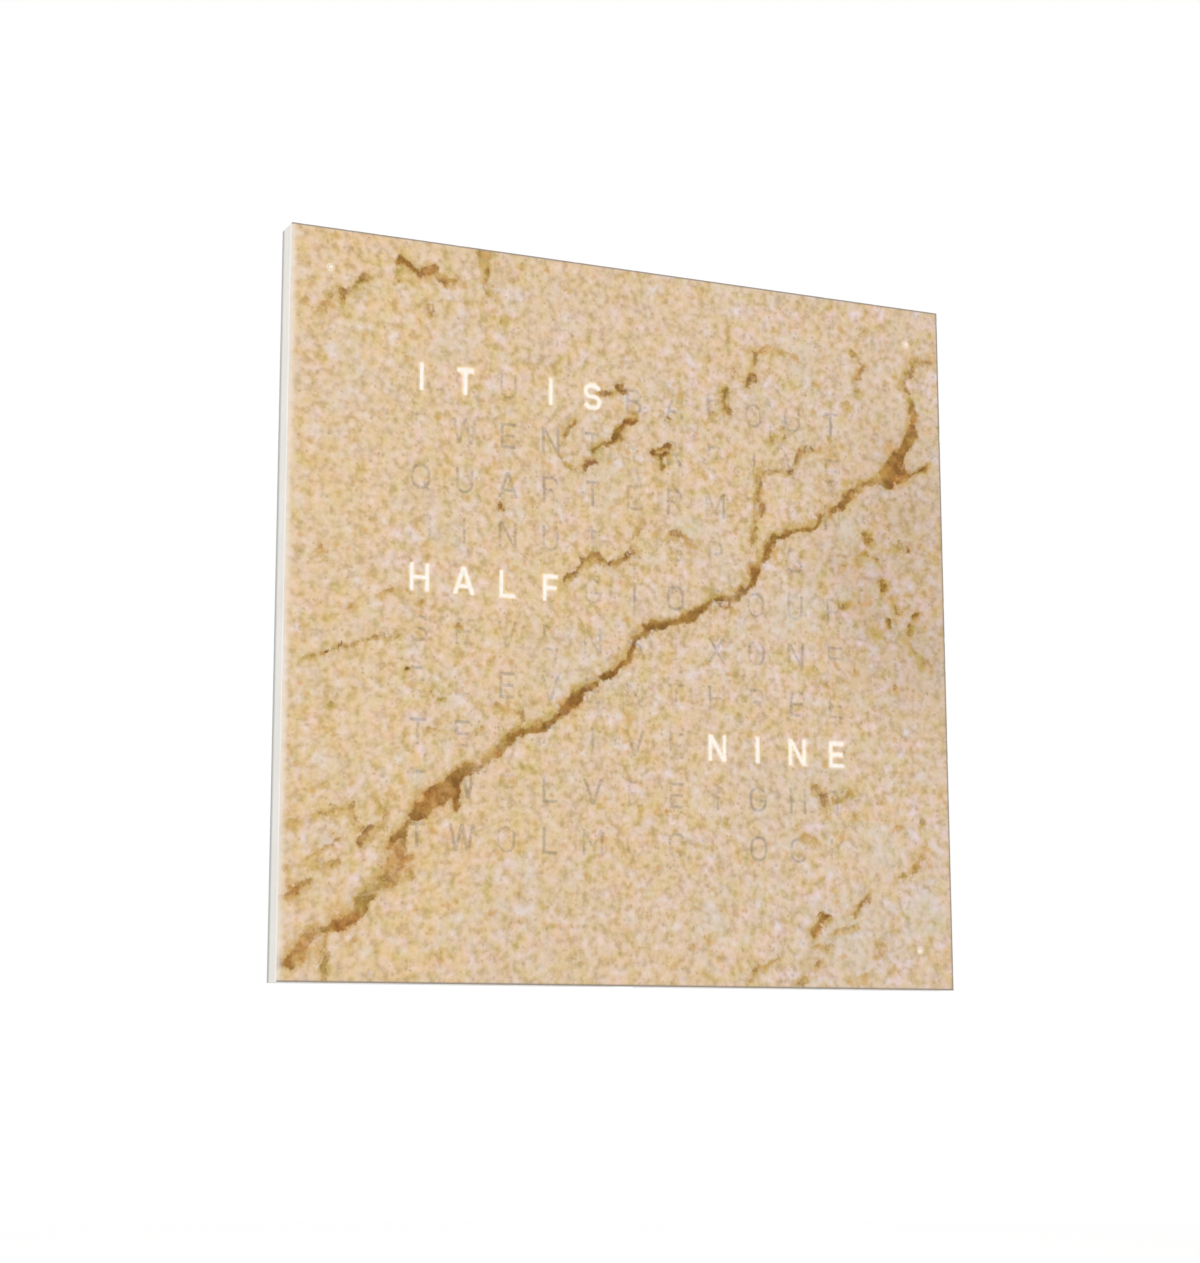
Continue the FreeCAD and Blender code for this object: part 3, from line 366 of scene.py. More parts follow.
# Finer cracks: how dark they are, their width, and their points
veins = [
    (.5, 2.5, [(114, 111), (117, 117), (124, 121), (134, 122)]),
    (.5, 2.5, [(91, 102), (100, 105), (108, 106)]),
    (.55, 3.8, [(87, 99), (89, 92), (87, 84)]),
    (.5, 3.6, [(89, 80), (87, 71), (85, 64), (83, 56)]),
    (.55, 4, [(85, 181), (86, 175)]),
    (.6, 4.6, [(84, 165), (82, 158)]),
    (.3, 2.6, [(88, 182), (96, 185)]),
    (.22, 2.4, [(100, 184), (109, 183), (117, 181)]),
    (.35, 3, [(72, 168), (70, 162)]),
    (.65, 4.2, [(66, 154), (64, 148), (66, 142), (68, 139)]),
    (.7, 3.6, [(12.5, 107), (18, 111), (23.5, 112.5)]),
    (.8, 2.8, [(13, 106.5), (19, 105.5), (23, 108)]),
    (.7, 3.6, [(19, 105), (20, 99)]),
    (.2, 2.8, [(165, 198), (170, 205)]),
    (.45, 2.8, [(160, 190), (163, 186), (167, 182)]),
    (.6, 4.2, [(167.5, 181), (164, 177), (162, 173)]),
    (.3, 2.7, [(141, 130), (142, 124), (141, 118)]),
    (.45, 2.1, [(107, 133), (107, 127)]),
    (.25, 3.4, [(184, 60), (190, 61), (197, 58)]),
    (.35, 3.2, [(161, 50), (163, 44)]),
    (.55, 2.6, [(146, 19), (149, 19.5), (153, 23)]),
    (.4, 2.2, [(187, 21), (191, 17), (195, 21)]),
    (.65, 2.3, [(182, 14), (181.5, 10)]),
    (.4, 3.6, [(178, 5), (172, 3), (180, -1)]),
    (.35, 2.6, [(197, 0), (203, -8), (211, -14)]),
    (.5, 3.6, [(-158, 199), (-157, 203)]),
    (.75, 3.4, [(-158, 211), (-154, 209), (-150, 207), (-146, 205)]),
    (.6, 4.2, [(-145, 205), (-140, 207), (-133, 207)]),
    (.55, 3.2, [(-131, 205), (-126, 201), (-119, 204)]),
    (.6, 4, [(-182, 192), (-176, 198)]),
    (.3, 3.6, [(-186, 187), (-182, 192)]),
    (.6, 2, [(-193, 186), (-192, 181)]),
    (.35, 2.6, [(-198, 186), (-202, 178), (-207, 172)]),
    (.45, 2, [(-138, 184), (-137, 178)]),
    (.55, 4.2, [(-22, 142), (-16, 144)]),
    (.7, 3.4, [(-12, 146), (-7, 145)]),
    (.85, 3.2, [(0, 129), (-5, 125), (-8, 121), (-12, 115)]),
    (.65, 2.7, [(-16, 112), (-22, 109), (-27, 104)]),
    (.6, 2.6, [(-27, 98), (-31, 95), (-34, 92)]),
    (.45, 2, [(-38, 90), (-42, 90), (-46, 95), (-50, 98)]),
    (.55, 2.2, [(-41, 124), (-45, 118), (-48, 111)]),
    (.5, 2.1, [(26, 56), (32, 58), (37, 53), (42, 51)]),
    (.35, 2.1, [(6, 65), (3, 58), (0, 52)]),
    (.65, 2.3, [(-46, 22), (-41, 26), (-33, 35), (-26, 38), (-19, 34), (-15, 34), (-8, 39), (-2, 41)]),
    (.42, 3.6, [(-196, -198), (-198.5, -205), (-196.5, -210), (-199, -215), (-195, -221), (-195, -227)]),
    (.6, 2.3, [(-227, -178), (-222, -175.5), (-213, -170), (-207, -167)]),
    (.55, 4.6, [(-175.5, -143), (-172, -139.5), (-169.5, -136.5)]),
    (.36, 2, [(-210, -38), (-203, -35), (-197, -33), (-190, -30), (-183, -28), (-176, -25), (-171, -23),
               (-162, -24), (-155, -20)]),
    (.35, 2.7, [(-203, 29), (-203, 21)]),
    (.45, 2.4, [(-163, 5), (-157, 7)]),
    (.4, 2, [(-136, -75), (-125, -76)]),
    (.45, 2.7, [(-204, -128), (-197, -126), (-189, -124)]),
    (.35, 2.7, [(-226, -139), (-216, -134)]),
    (.36, 2.2, [(-91, -60), (-82, -61), (-76, -62), (-74, -67)]),
    (.5, 4.6, [(128, -100), (133, -108)]),
    (.5, 3.2, [(140, -106), (147, -104), (152, -100)]),
    (.4, 2.1, [(117, -131), (123, -131)]),
    (.45, 4.6, [(203, -141), (200, -148), (196, -152)]),
    (.35, 2, [(185, -154), (194, -153)]),
    (.55, 3.2, [(165, -168), (158, -171), (152, -177)]),
    (.65, 4.8, [(128, -187), (125, -191)]),
    (.45, 2, [(138, -189), (146, -188), (152, -185)]),
    (.35, 3.2, [(172, -197), (170, -205)]),
    (.4, 3.6, [(118, -220), (112, -222)]),
    (.5, 2.5, [(76, -224), (80, -214), (89, -211), (97, -206)]),
    (.35, 2.1, [(149, -219), (159, -216)]),
    (.25, 2, [(128, -30), (137, -31)]),
    (.35, 2.2, [(-214, -158), (-205, -152), (-196, -147), (-188, -142)]),
    (.4, 2.4, [(-206, -156), (-198, -158), (-190, -157)]),
    (.4, 2.6, [(-181, -123), (-180, -130), (-177, -137)]),
    (.3, 3, [(-166, -118), (-161, -127), (-163, -135)]),
]
# Pits and short chips: x, z, width, how dark
pits = [
    (166.5, 67, 4.4, .65), (167, 63, 4.2, .75), (165, 55, 4.6, .55), (168, 53, 3.4, .6),
    (174.5, 52.5, 2.4, 1.0), (197, 58, 3.2, .7), (148.5, 46, 3.4, .55), (178, 37, 3.6, .75),
    (179, 33.5, 3.4, .75), (185, 27, 4.2, .35), (202, 16, 3.6, .8), (204.5, 17, 3.2, .8),
    (199, 10, 4.2, .5), (199, 6, 4, .5), (210, 8, 2.2, .5), (186, -31, 2.5, .4), (158, -24, 1.8, .5),
    (187, -121, 2.2, .7), (204, -119, 2.3, .3), (152, -116, 2.3, .4), (206, -134, 3.4, .4),
    (132, -181, 5.1, .8), (127, -198, 4.2, .45), (134, -199, 2.5, .4), (148, -187, 1.8, .85),
    (125, -211, 4.5, .5), (-121, 204, 3.3, .4), (-98, 199, 4, .4), (-217, 179, 2.3, .5),
    (-152, 150, 2.5, .5), (-88, 182, 1.8, .35), (-12, 115, 5.2, .85), (24, 129, 3.4, .5),
    (55, 136, 4.2, .4), (163, 162, 2.8, .3), (166, 152, 4.2, .35), (152, 153, 4.2, .3), (109, 106, 2, .9),
    (99, 125, 3.4, .5), (131, 167, 2.5, .4), (-198, -33, 2.2, .9), (-190, -30, 2.2, .85),
    (-185, -7, 2.2, .6), (-140, 0, 1.8, .6), (-149, -40, 2.5, .8), (-117, -11, 2.5, .55),
    (-198, -64, 2.5, .35), (-127, -57, 2.5, .6), (-133, -53, 1.7, .5), (-103, -75, 3.4, .4),
    (-192, -82, 2.3, .3), (18, 60, 2, .5), (-200, -110, 2.5, .35), (-6, -61, 2.2, .5), (49, -196, 2.2, .45),
    (20, -119, 2, .5), (-94, -183, 2.3, .5), (-193, -158, 2.6, .7), (-220, -159, 3, .3),
    (-196, -163, 3, .35), (-89, 64, 3, .6), (98, 50, 2.8, .4), (62, -123, 2.2, .45),
]
# Soft patches of colour: x, z, radius
ochrePatches = [
    (191, 110, 14), (204, 146, 9), (-132, -116, 17), (-137, -121, 13), (-220, -127, 7), (-150, -151, 8),
    (-153, -153, 18), (-186, -189, 17), (-209, -206, 18), (-89, 64, 4), (-94, -183, 4), (-6, -61, 4),
    (49, -196, 4), (20, -119, 4), (-200, 177, 6), (-139, 206, 9), (85, 37, 8), (-44, -57, 9),
    (-218, -172, 8), (156, 92, 6), (151, 100, 4), (98, 50, 7), (185, 128, 9), (-91, -88, 6), (-37, -56, 6),
    (90, 80, 5), (-147, -153, 6), (-207, -200, 9), (162, 175, 5), (165, 22, 12), (209, -146, 7),
    (144, -205, 5), (124, -217, 5), (160, -219, 5), (-205, 161, 4), (-143, -63, 5), (-147, -50, 4),
    (-192, -82, 4), (128, -189, 6), (186, -31, 4), (-203, 25, 6), (92, 184, 6),
]
olivePatches = [
    (58, 134, 6), (190, 59, 8), (167, 66, 5), (179, 36, 5), (203, 19, 4), (55, 18, 6), (-149, -40, 4),
    (-126, -57, 4), (62, -123, 4), (-181, 191, 7), (-196, -214, 8), (66, 152, 8), (-24, 104, 8),
    (180, 102, 6), (-145, -160, 4), (-173, -176, 8), (100, 61, 5), (-162, -123, 5), (180, 148, 6),
    (163, 162, 6), (99, 125, 5), (204, -119, 5), (-98, 199, 5), (-198, -64, 4), (-158, 202, 5),
    (-200, -110, 4), (108, 182, 6), (-46, 94, 5), (190, -153, 5), (199, 8, 6), (165, 54, 5), (182, 12, 5),
    (150, 21, 6), (175, 2, 7), (188, 19, 6), (206, -11, 7), (203, 42, 5), (-176, -180, 7),
]
dullPatches = [(205, 70, 95), (210, 0, 85), (165, 45, 60), (190, 120, 40), (176, 16, 60)]
palePatches = [
    (172, -135, 24), (-141, -107, 9), (-198, -146, 9), (-79, -211, 6), (120, 180, 22), (150, 70, 20),
    (110, 10, 26), (40, 60, 16), (150, 28, 8), (-185, -177, 6), (-140, -131, 4), (129, -107, 4),
    (150, -192, 46), (50, -184, 24), (205, -175, 30),
]

stone = {
    "cell": 2.5,            # mm, the coarse mesh; halved near cracks and halved again in them
    "near": (6.0, 1.8),     # mm from a crack's edge, where each halving begins
    "skin": 0.09,           # mm that the sanded face lies behind the stone's foremost plane
    "swell": (55.0, 0.04),  # mm: size and height of the face's slow rise and fall
    "grit": (1.9, 0.018),   # mm: the same of its sanded grain
    "depth": 0.85,          # mm, the deepest cracks
    "rubble": ((1.7, 0.28), (4.5, 0.16)),                 # size in mm and share of a crack's uneven bottom
    "wall": 1.1,            # mm, how wide a crack's sloping walls are
    "ragged": ((8.0, 1.8), (3.0, 1.1), (1.2, 0.4)),       # mm: size and reach of each sideways push
    "broken": ((6.0, 0.9), (2.7, 0.7), (1.4, 0.35)),      # mm: size and reach of each change in width
    "rim": 0.3,             # mm, the eased front edge
    "chips": (3.1, 0.35, 0.1),                            # mm: size of its chips, how far in and back
}


def lattice(x, z, size, seed):
    # smooth random rise and fall between -1 and 1
    table = np.random.default_rng(seed).uniform(-1, 1, (256, 256))
    u, v = x / size, z / size
    i, j = np.floor(u).astype(int), np.floor(v).astype(int)
    s, t = u - i, v - j
    s, t = s * s * (3 - 2 * s), t * t * (3 - 2 * t)
    i, j = i % 256, j % 256
    right, up = (i + 1) % 256, (j + 1) % 256
    low = table[i, j] + (table[right, j] - table[i, j]) * s
    high = table[i, up] + (table[right, up] - table[i, up]) * s
    return low + (high - low) * t


def nearestCrack(x, z, lines):
    # mm inside a crack's edge, less than 0 outside it, its darkness, and the place across it,
    # from -1 at its right edge to 1 at its left
    inside, tone, across = np.full(x.shape, -99.0), np.zeros(x.shape), np.zeros(x.shape)
    for points in lines:
        for (x0, z0, w0, t0), (x1, z1, w1, t1) in zip(points, points[1:]):
            dx, dz = x1 - x0, z1 - z0
            along = np.clip(((x - x0) * dx + (z - z0) * dz) / (dx * dx + dz * dz), 0, 1)
            reach = (w0 + (w1 - w0) * along) / 2
            here = reach - np.hypot(x - x0 - along * dx, z - z0 - along * dz)
            closer = here > inside
            inside = np.where(closer, here, inside)
            tone = np.where(closer, t0 + (t1 - t0) * along, tone)
            side = ((x - x0) * dz - (z - z0) * dx) / math.hypot(dx, dz) / reach
            across = np.where(closer, side, across)
    return inside, tone, across


def softStep(value, low, high):
    # from 0 at low to 1 at high, or the other way round where low is the larger
    t = np.clip((value - low) / (high - low), 0, 1)
    return t * t * (3 - 2 * t)


def patches(x, z, spots):
    total = np.zeros(x.shape)
    for x0, z0, radius in spots:
        total = np.maximum(total, 1 - np.hypot(x - x0, z - z0) / radius)
    return np.clip(total, 0, 1)


crackLines = fissure + [[(x, z, width, tone) for x, z in points] for tone, width, points in veins]
crackLines += [[(x, z, width, tone), (x + 0.3 * width, z + 0.2 * width, 0.7 * width, tone)]
               for x, z, width, tone in pits]


def stoneFields(x, z):
    # everything the cracks and patches do at these places, in mm
    pushedX, pushedZ = x.copy(), z.copy()
    for seed, (size, reach) in enumerate(stone["ragged"], 10):
        pushedX = pushedX + reach * lattice(x, z, size, seed)
        pushedZ = pushedZ + reach * lattice(x, z, size, seed + 10)
    crack, tone, across = nearestCrack(pushedX, pushedZ, crackLines)
    broken = enumerate(stone["broken"], 31)
    crack = crack + sum(reach * lattice(x, z, size, seed) for seed, (size, reach) in broken)
    return {
        "crack": np.clip(crack, -8, 8), "tone": tone, "across": np.clip(across, -3, 3),
        "ochre": patches(pushedX, pushedZ, ochrePatches), "olive": patches(pushedX, pushedZ, olivePatches),
        "pale": patches(pushedX, pushedZ, palePatches), "dull": patches(x, z, dullPatches),
    }


def stoneDrop(x, z, fields):
    # mm that the face lies behind its foremost plane
    waves = (*stone["rubble"], stone["swell"], stone["grit"])
    heights = [share * lattice(x, z, size, seed) for seed, (size, share) in enumerate(waves, 41)]
    small, large, swell, grit = heights
    slope = 0.45 + 0.55 * softStep(fields["across"], 0.9, -0.7)
    depth = stone["depth"] * (0.2 + 0.8 * fields["tone"]) * (0.72 + small + large) * slope
    crack = depth * softStep(fields["crack"], -0.25, stone["wall"])
    rounded = 0.06 * softStep(fields["crack"], -2.5, -0.2)
    return np.clip(stone["skin"] + (swell + grit) + rounded + crack, 0.005, 1.02)


def fieldsOn(mesh):
    # the fields at a mesh's points, and the points' x and z in mm
    at = np.array([(vertex.co.x, vertex.co.z) for vertex in mesh.vertices]) / mm
    return stoneFields(*at.T), at.T


def keepFields(mesh, fields):
    for name, values in fields.items():
        mesh.attributes.new(name, "FLOAT", "POINT").data.foreach_set("value", values.astype(np.float32))


faceLow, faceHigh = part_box("stone_face")
half = faceHigh.x
yFront = faceLow.y
yStoneBack = faceHigh.y
litWords = ["lit_word_it", "lit_word_is", "lit_word_half", "lit_word_nine"]
litNodes = litWords + ["minute_dots_lit"]
litBoxes = [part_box(name) for name in litWords]
plainNodes = [f"letters_row_{row:02d}" for row in range(1, 11)] + ["minute_dot_unlit"]

letters = {
    "cell": 1.3,          # mm, how finely a letter's face is cut, so that it can follow the stone
    "proud": 0.055,       # mm before the stone's sanded face
    "foot": 0.15,         # mm that a letter's back lies inside the stone's back
    "glow": 1.2,          # mm of stone round a lit letter that its light reaches
    "margin": 0.4,        # mm at a stroke's edge where the letter's shade or light fades out
    "dotMargin": 0.95,    # mm, the same for a dot
    "dots": (200.4, 3.0),  # mm from the middle, across and up, to a minute dot, and a radius round it
}


def searchTree(names):
    # a search tree of several CAD nodes' faces
    points, faces = [], []
    for name in names:
        mesh = frame["nodes"][name].data
        start = len(points)
        points += [tuple(vertex.co) for vertex in mesh.vertices]
        faces += [[start + i for i in face.vertices] for face in mesh.polygons]
    return BVHTree.FromPolygons(points, faces)


litTree = searchTree(litNodes)


def glowAt(x, z):
    # 1 beside a lit stroke and 0 out of its light's reach
    reach = letters["glow"]
    values = np.zeros(x.shape)
    place, size = letters["dots"]
    inside = np.hypot(np.abs(x) - place, np.abs(z) - place) < size + reach
    for low, high in litBoxes:
        inside |= ((x > low.x / mm - reach) & (x < high.x / mm + reach)
                   & (z > low.z / mm - reach) & (z < high.z / mm + reach))
    for i in np.nonzero(inside)[0]:
        away = litTree.find_nearest(Vector((x[i] * mm, yFront + 0.05 * mm, z[i] * mm)))[3] / mm
        values[i] = max(0, 1 - away / reach)
    return values


def faceGrid():
    # the stone's face as a flat grid in X and Y, finest in the cracks
    size = half / mm - stone["rim"]
    count = round(2 * size / stone["cell"])
    grid = bmesh.new()
    bmesh.ops.create_grid(grid, x_segments=count, y_segments=count, size=size)
    for turn, reach in enumerate(stone["near"]):
        faces = list(grid.faces)
        middle = np.array([face.calc_center_median()[:2] for face in faces])
        wanted = stoneFields(*middle.T)["crack"] > -reach
        if turn == 0:
            wanted |= glowAt(*middle.T) > 0
        edges = {edge for face, finer in zip(faces, wanted) if finer for edge in face.edges}
        bmesh.ops.subdivide_edges(grid, edges=list(edges), cuts=1, use_grid_fill=True)
    return grid


def makeStone():
    # the whole stone sheet: relief in front, eased rim, sides and flat back
    bm = faceGrid()
    at = np.array([vertex.co[:2] for vertex in bm.verts])
    drop = stoneDrop(*at.T, stoneFields(*at.T))
    for vertex, (x, z), back in zip(bm.verts, at, drop):
        vertex.co = (x * mm, yFront + back * mm, z * mm)
    inner = half - stone["rim"] * mm - 1e-6
    chipSize, chipIn, chipBack = stone["chips"]
    for level in ("rim", "back"):
        edges = [edge for edge in bm.edges if edge.is_boundary]
        new = bmesh.ops.extrude_edge_only(bm, edges=edges)["geom"]
        verts = [item for item in new if isinstance(item, bmesh.types.BMVert)]
        for vertex in verts:
            x, y, z = vertex.co
            edge = half
            if level == "rim":
                chip = max(0, lattice(np.array([x / mm]), np.array([z / mm]), chipSize, 51)[0]) ** 3
                edge = half - chipIn * chip * mm
                y = max(y, yFront + stone["rim"] * mm) + chipBack * chip * mm
            else:
                y = yStoneBack
            x, z = (math.copysign(edge, value) if abs(value) > inner else value for value in (x, z))
            vertex.co = (x, y, z)
    bmesh.ops.contextual_create(bm, geom=[edge for edge in bm.edges if edge.is_boundary])
    turnOutward(bm)
    for face in bm.faces:
        face.smooth = face.normal.y < -0.3
    tree = BVHTree.FromBMesh(bm)
    mesh = meshFrom(bm, "sandstone_face")
    fields, at = fieldsOn(mesh)
    keepFields(mesh, fields | {"glow": glowAt(*at)})
    return mesh, tree


def makeLetters(name, tree):
    # solid letters whose faces follow the stone, from one CAD node's outlines
    bm = bmesh.new()
    bm.from_mesh(frame["nodes"][name].data)
    weld(bm)
    bmesh.ops.delete(bm, geom=[face for face in bm.faces if face.normal.y > -0.9], context="FACES")
    layer = bm.verts.layers.float.new("inner")
    margin = letters["dotMargin" if "dot" in name else "margin"]
    bmesh.ops.inset_region(bm, faces=list(bm.faces), thickness=margin * mm, use_boundary=True,
                           use_even_offset=True)
    for vertex in bm.verts:
        vertex[layer] = 0.0 if vertex.is_boundary else 1.0
    low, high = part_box(name)
    step = letters["cell"] * mm
    for axis in (0, 2):
        normal = Vector((axis == 0, 0, axis == 2))
        for cut in np.arange(low[axis] + step / 2, high[axis], step):
            near = [face for face in bm.faces
                    if min(v.co[axis] for v in face.verts) < cut < max(v.co[axis] for v in face.verts)]
            edges = {edge for face in near for edge in face.edges}
            verts = {vertex for face in near for vertex in face.verts}
            if near:
                bmesh.ops.bisect_plane(bm, geom=near + list(edges) + list(verts), plane_co=normal * cut,
                                       plane_no=normal, dist=1e-7)
    for vertex in bm.verts:
        hit = tree.ray_cast(Vector((vertex.co.x, yFront - 0.01, vertex.co.z)), Vector((0, 1, 0)))[0]
        vertex.co.y = max(yFront, hit.y - letters["proud"] * mm)
    raised = bmesh.ops.extrude_face_region(bm, geom=list(bm.faces), use_keep_orig=True)["geom"]
    for item in raised:
        if isinstance(item, bmesh.types.BMVert):
            item.co.y = yStoneBack - letters["foot"] * mm
    turnOutward(bm)
    for face in bm.faces:
        face.smooth = face.normal.y < -0.5
    mesh = meshFrom(bm, name + "_inlay")
    keepFields(mesh, fieldsOn(mesh)[0])
    return mesh


# Shader groups for the stone: a scale is in cells to the metre, and a tint is a ramp of factors for red,
# green and blue
sand = {
    "colors": [(0.30, (211, 181, 112)), (0.40, (219, 190, 140)), (0.50, (223, 194, 160)),
               (0.59, (225, 198, 177)), (0.70, (228, 207, 202))],
    "even": (222, 195, 161),           # where the patches of colour fade
    "cool": (214, 202, 186),           # greyer clouds
    "grains": [(0.15, (188, 164, 108)), (0.34, (214, 186, 142)), (0.55, (228, 200, 172)),
               (0.74, (230, 202, 194)), (0.88, (206, 196, 178))],
    "patchTint": [(0.34, (0.955, 1.022, 1.0)), (0.66, (1.045, 0.978, 0.975))],
    "shadeTint": [(0.28, (0.79, 0.75, 0.71)), (0.5, (1.02, 1.01, 1.0)), (0.72, (1.10, 1.12, 1.14))],
    "cloudTint": [(0.3, (1.0, 0.985, 0.92)), (0.7, (0.98, 0.99, 1.07))],
    "sideTint": [(0.1, (1.0, 1.015, 0.975)), (0.9, (0.965, 1.0, 1.07))],         # left to right
    # rarer specks, large and small: scale and size, then channel, rarity, strength and colour of each kind
    "specks": [
        (95.0, 0.36, [(1, 0.86, 0.7, (204, 162, 76)), (0, 0.88, 0.5, (222, 198, 196)),
                      (2, 0.90, 0.4, (216, 168, 118))]),
        (170.0, 0.44, [(1, 0.82, 0.8, (180, 144, 68)), (2, 0.88, 0.55, (214, 156, 92)),
                       (0, 0.9, 0.4, (238, 220, 218))]),
        (380.0, 0.6, [(0, 0.88, 0.45, (164, 132, 90)), (1, 0.88, 0.4, (204, 164, 90)),
                      (2, 0.9, 0.25, (236, 220, 206))]),
    ],
}


def makeSandGroup():
    # sand grains of mixed colours, with the height of the sanded surface in mm
    tree, given, out = newGroup("sandGrains", [("Grain Size", 1.8)], ["Color", "Height"])
    place = objectPlace(tree)
    push = vector("SUBTRACT", noise(place, 500.0).other("Color"), (0.5, 0.5, 0.5))
    grainPlace = vector("ADD", place, vector("SCALE", push, Scale=0.0022))
    patch = noise(grainPlace, 108.0, 4.0)
    color = tinted(ramp(patch, sand["colors"]), channels(patch)[1], sand["patchTint"])
    color = mixed(spread(noise(place, 30.0), 0.42, 0.62, 0.0, 0.4), color, sand["even"])
    grains = cells(grainPlace, calc("DIVIDE", 1000.0, given["Grain Size"]), feature="SMOOTH_F1")
    color = mixed(0.14, color, ramp(channels(grains)[0], sand["grains"]))
    shade = noise(place, 215.0, 3.0, 0.52)
    cloud = noise(place, 17.0, 3.0)
    color = tinted(tinted(color, shade, sand["shadeTint"]), cloud, sand["cloudTint"])
    color = tinted(color, parts(place)[0] * 2.4 + 0.5, sand["sideTint"])
    color = mixed(spread(channels(cloud)[2], 0.54, 0.72) * 0.22, color, sand["cool"])
    for scale, size, kinds in sand["specks"]:
        specks = cells(grainPlace, scale)
        pick = channels(specks)
        spot = spread(specks, size, 0.05)
        for channel, rarity, strength, tint in kinds:
            color = mixed(spot * spread(pick[channel], rarity, rarity + 0.05) * strength, color, tint)
    fine = noise(place, 1700.0, 3.0, 0.6)
    feed(out, Color=color, Height=fine * 0.035 + shade * 0.10 - grains * 0.04)
    return tree


# Stains and cracks: a hue runs from olive to orange, and the crack's own ramp from pale to dark
weathering = {
    "patches": {                       # colour and strength
        "pale": ((214, 208, 196), 0.5),
        "ochre": ((208, 160, 88), 0.7),
        "olive": ((184, 162, 86), 0.6),
    },
    "stain": [(0.36, (190, 166, 92)), (0.46, (200, 168, 96)), (0.56, (204, 167, 103)),
              (0.68, (209, 168, 112))],
    "crack": [(0.05, (208, 172, 112)), (0.30, (188, 151, 87)), (0.50, (172, 132, 68)),
              (0.70, (160, 116, 53)), (0.88, (146, 103, 44)), (1.0, (132, 91, 38))],
    "golden": (203, 161, 86),
    "dullTint": (0.86, 0.84, 0.83, 1),
    "hueTint": [(0.36, (0.92, 1.03, 0.76)), (0.5, (1, 1, 0.95)), (0.64, (1.06, 0.98, 0.91)),
                (0.8, (1.15, 0.95, 0.82))],
    "sandTint": [(0.3, (0.91, 0.90, 0.88)), (0.7, (1.07, 1.07, 1.07))],
}


def makeCrackGroup():
    # the cracks' and stains' colours over a given one, ragged at the scale of the grains, and rubble in mm
    tree, given, out = newGroup("cracksAndStains", [("Color", (0.8, 0.6, 0.4, 1.0))], ["Color", "Height"])
    place = objectPlace(tree)
    ragged = noise(place, 620.0, 3.0, 0.6) - 0.5
    mottle = noise(place, 230.0, 3.0, 0.6)
    patchy = channels(mottle)
    drift = channels(noise(place, 105.0))
    across, tone = attribute(tree, "across"), attribute(tree, "tone")
    # faint cracks break up into dashes
    gaps = (noise(place, 190.0, 2.0, 0.55) - 0.47) * spread(tone, 0.2, 0.8, 12.0, 1.5)
    crack = attribute(tree, "crack") + gaps + spread(tone, 0.2, 0.7, 0.0, 0.5) + ragged * 3.4
    color = mixed(attribute(tree, "dull"), given["Color"], weathering["dullTint"], "MULTIPLY")
    found = {name: attribute(tree, name) for name in weathering["patches"]}
    for name, (tint, strength) in weathering["patches"].items():
        amount = spread(found[name] + ragged * 1.2, 0.1, 0.9) * spread(patchy[1], 0.3, 0.6)
        color = mixed(amount * strength, color, tint)
    hue = (found["ochre"] - found["olive"]) * 0.24 + patchy[2]
    # weathered stone beside the crack, more on its upper left
    stain = spread(crack, -4.8, 0.4) * spread(patchy[1], 0.38, 0.58, 0.15, 1.0)
    stain = stain * spread(across, -2.2, 0.6, 0.35, 1.0) * spread(tone, 0.2, 0.9, 0.62, 0.95)
    color = mixed(stain, color, ramp(hue, weathering["stain"]))
    # the crack itself: darkest well inside it, with golden and orange patches
    dark = (mottle - 0.5) * 1.6 + tone * 0.85 + spread(crack, -0.4, 1.7, -0.20, 0.18)
    dark = dark + (drift[0] - 0.5) * 1.5 - across * 0.08
    crackColor = tinted(ramp(dark, weathering["crack"]), hue, weathering["hueTint"])
    golden = spread(patchy[0] * 0.35 + drift[1] * 0.65, 0.51, 0.62) * spread(tone, 0.95, 0.5, 0.2, 0.8)
    crackColor = mixed(golden, crackColor, weathering["golden"])
    # crisp on its lower right, soft on its upper left
    low, high = (spread(across, -0.4, 0.7, *ends) for ends in ((-1.0, -2.2), (1.0, 1.7)))
    core = spread(crack, low, high) * spread(tone, 0.15, 0.8, 0.55, 1.0)
    core = core * (spread(tone, 0.8, 0.3) * spread(patchy[0], 0.56, 0.42) * -0.5 + 1.0)
    color = mixed(core, color, crackColor)
    sandy = tinted(color, noise(place, 800.0, 2.0, 0.6), weathering["sandTint"])
    feed(out, Color=mixed(core, color, sandy), Height=noise(place, 520.0, 3.0, 0.65) * 0.5 * core)
    return tree


sandGroup = makeSandGroup()
crackGroup = makeCrackGroup()

stoneFinish = {
    "grainSize": 1.8,                  # mm
    "roughness": (0.74, 0.90),
    "rim": (236, 222, 207),            # paler band along the left edge
    "rimReach": 5.0,                   # mm in from that edge
    "paintedShadeRim": (146, 139, 132),      # painted shade on the other edges, a grey line as of the cut edge in shadow
    "paintedShadeReach": (1.5, 0.6),         # mm in from them, where it begins and where it is full
    "glow": (255, 246, 228),           # light that shows through round a lit letter
    "glowStrength": 0.42,
    "letterShade": (0.66, 0.69, 0.77, 1.0),      # what an unlit letter's thin stone does to the colour
    "letterStrength": (0.08, 0.92),
}


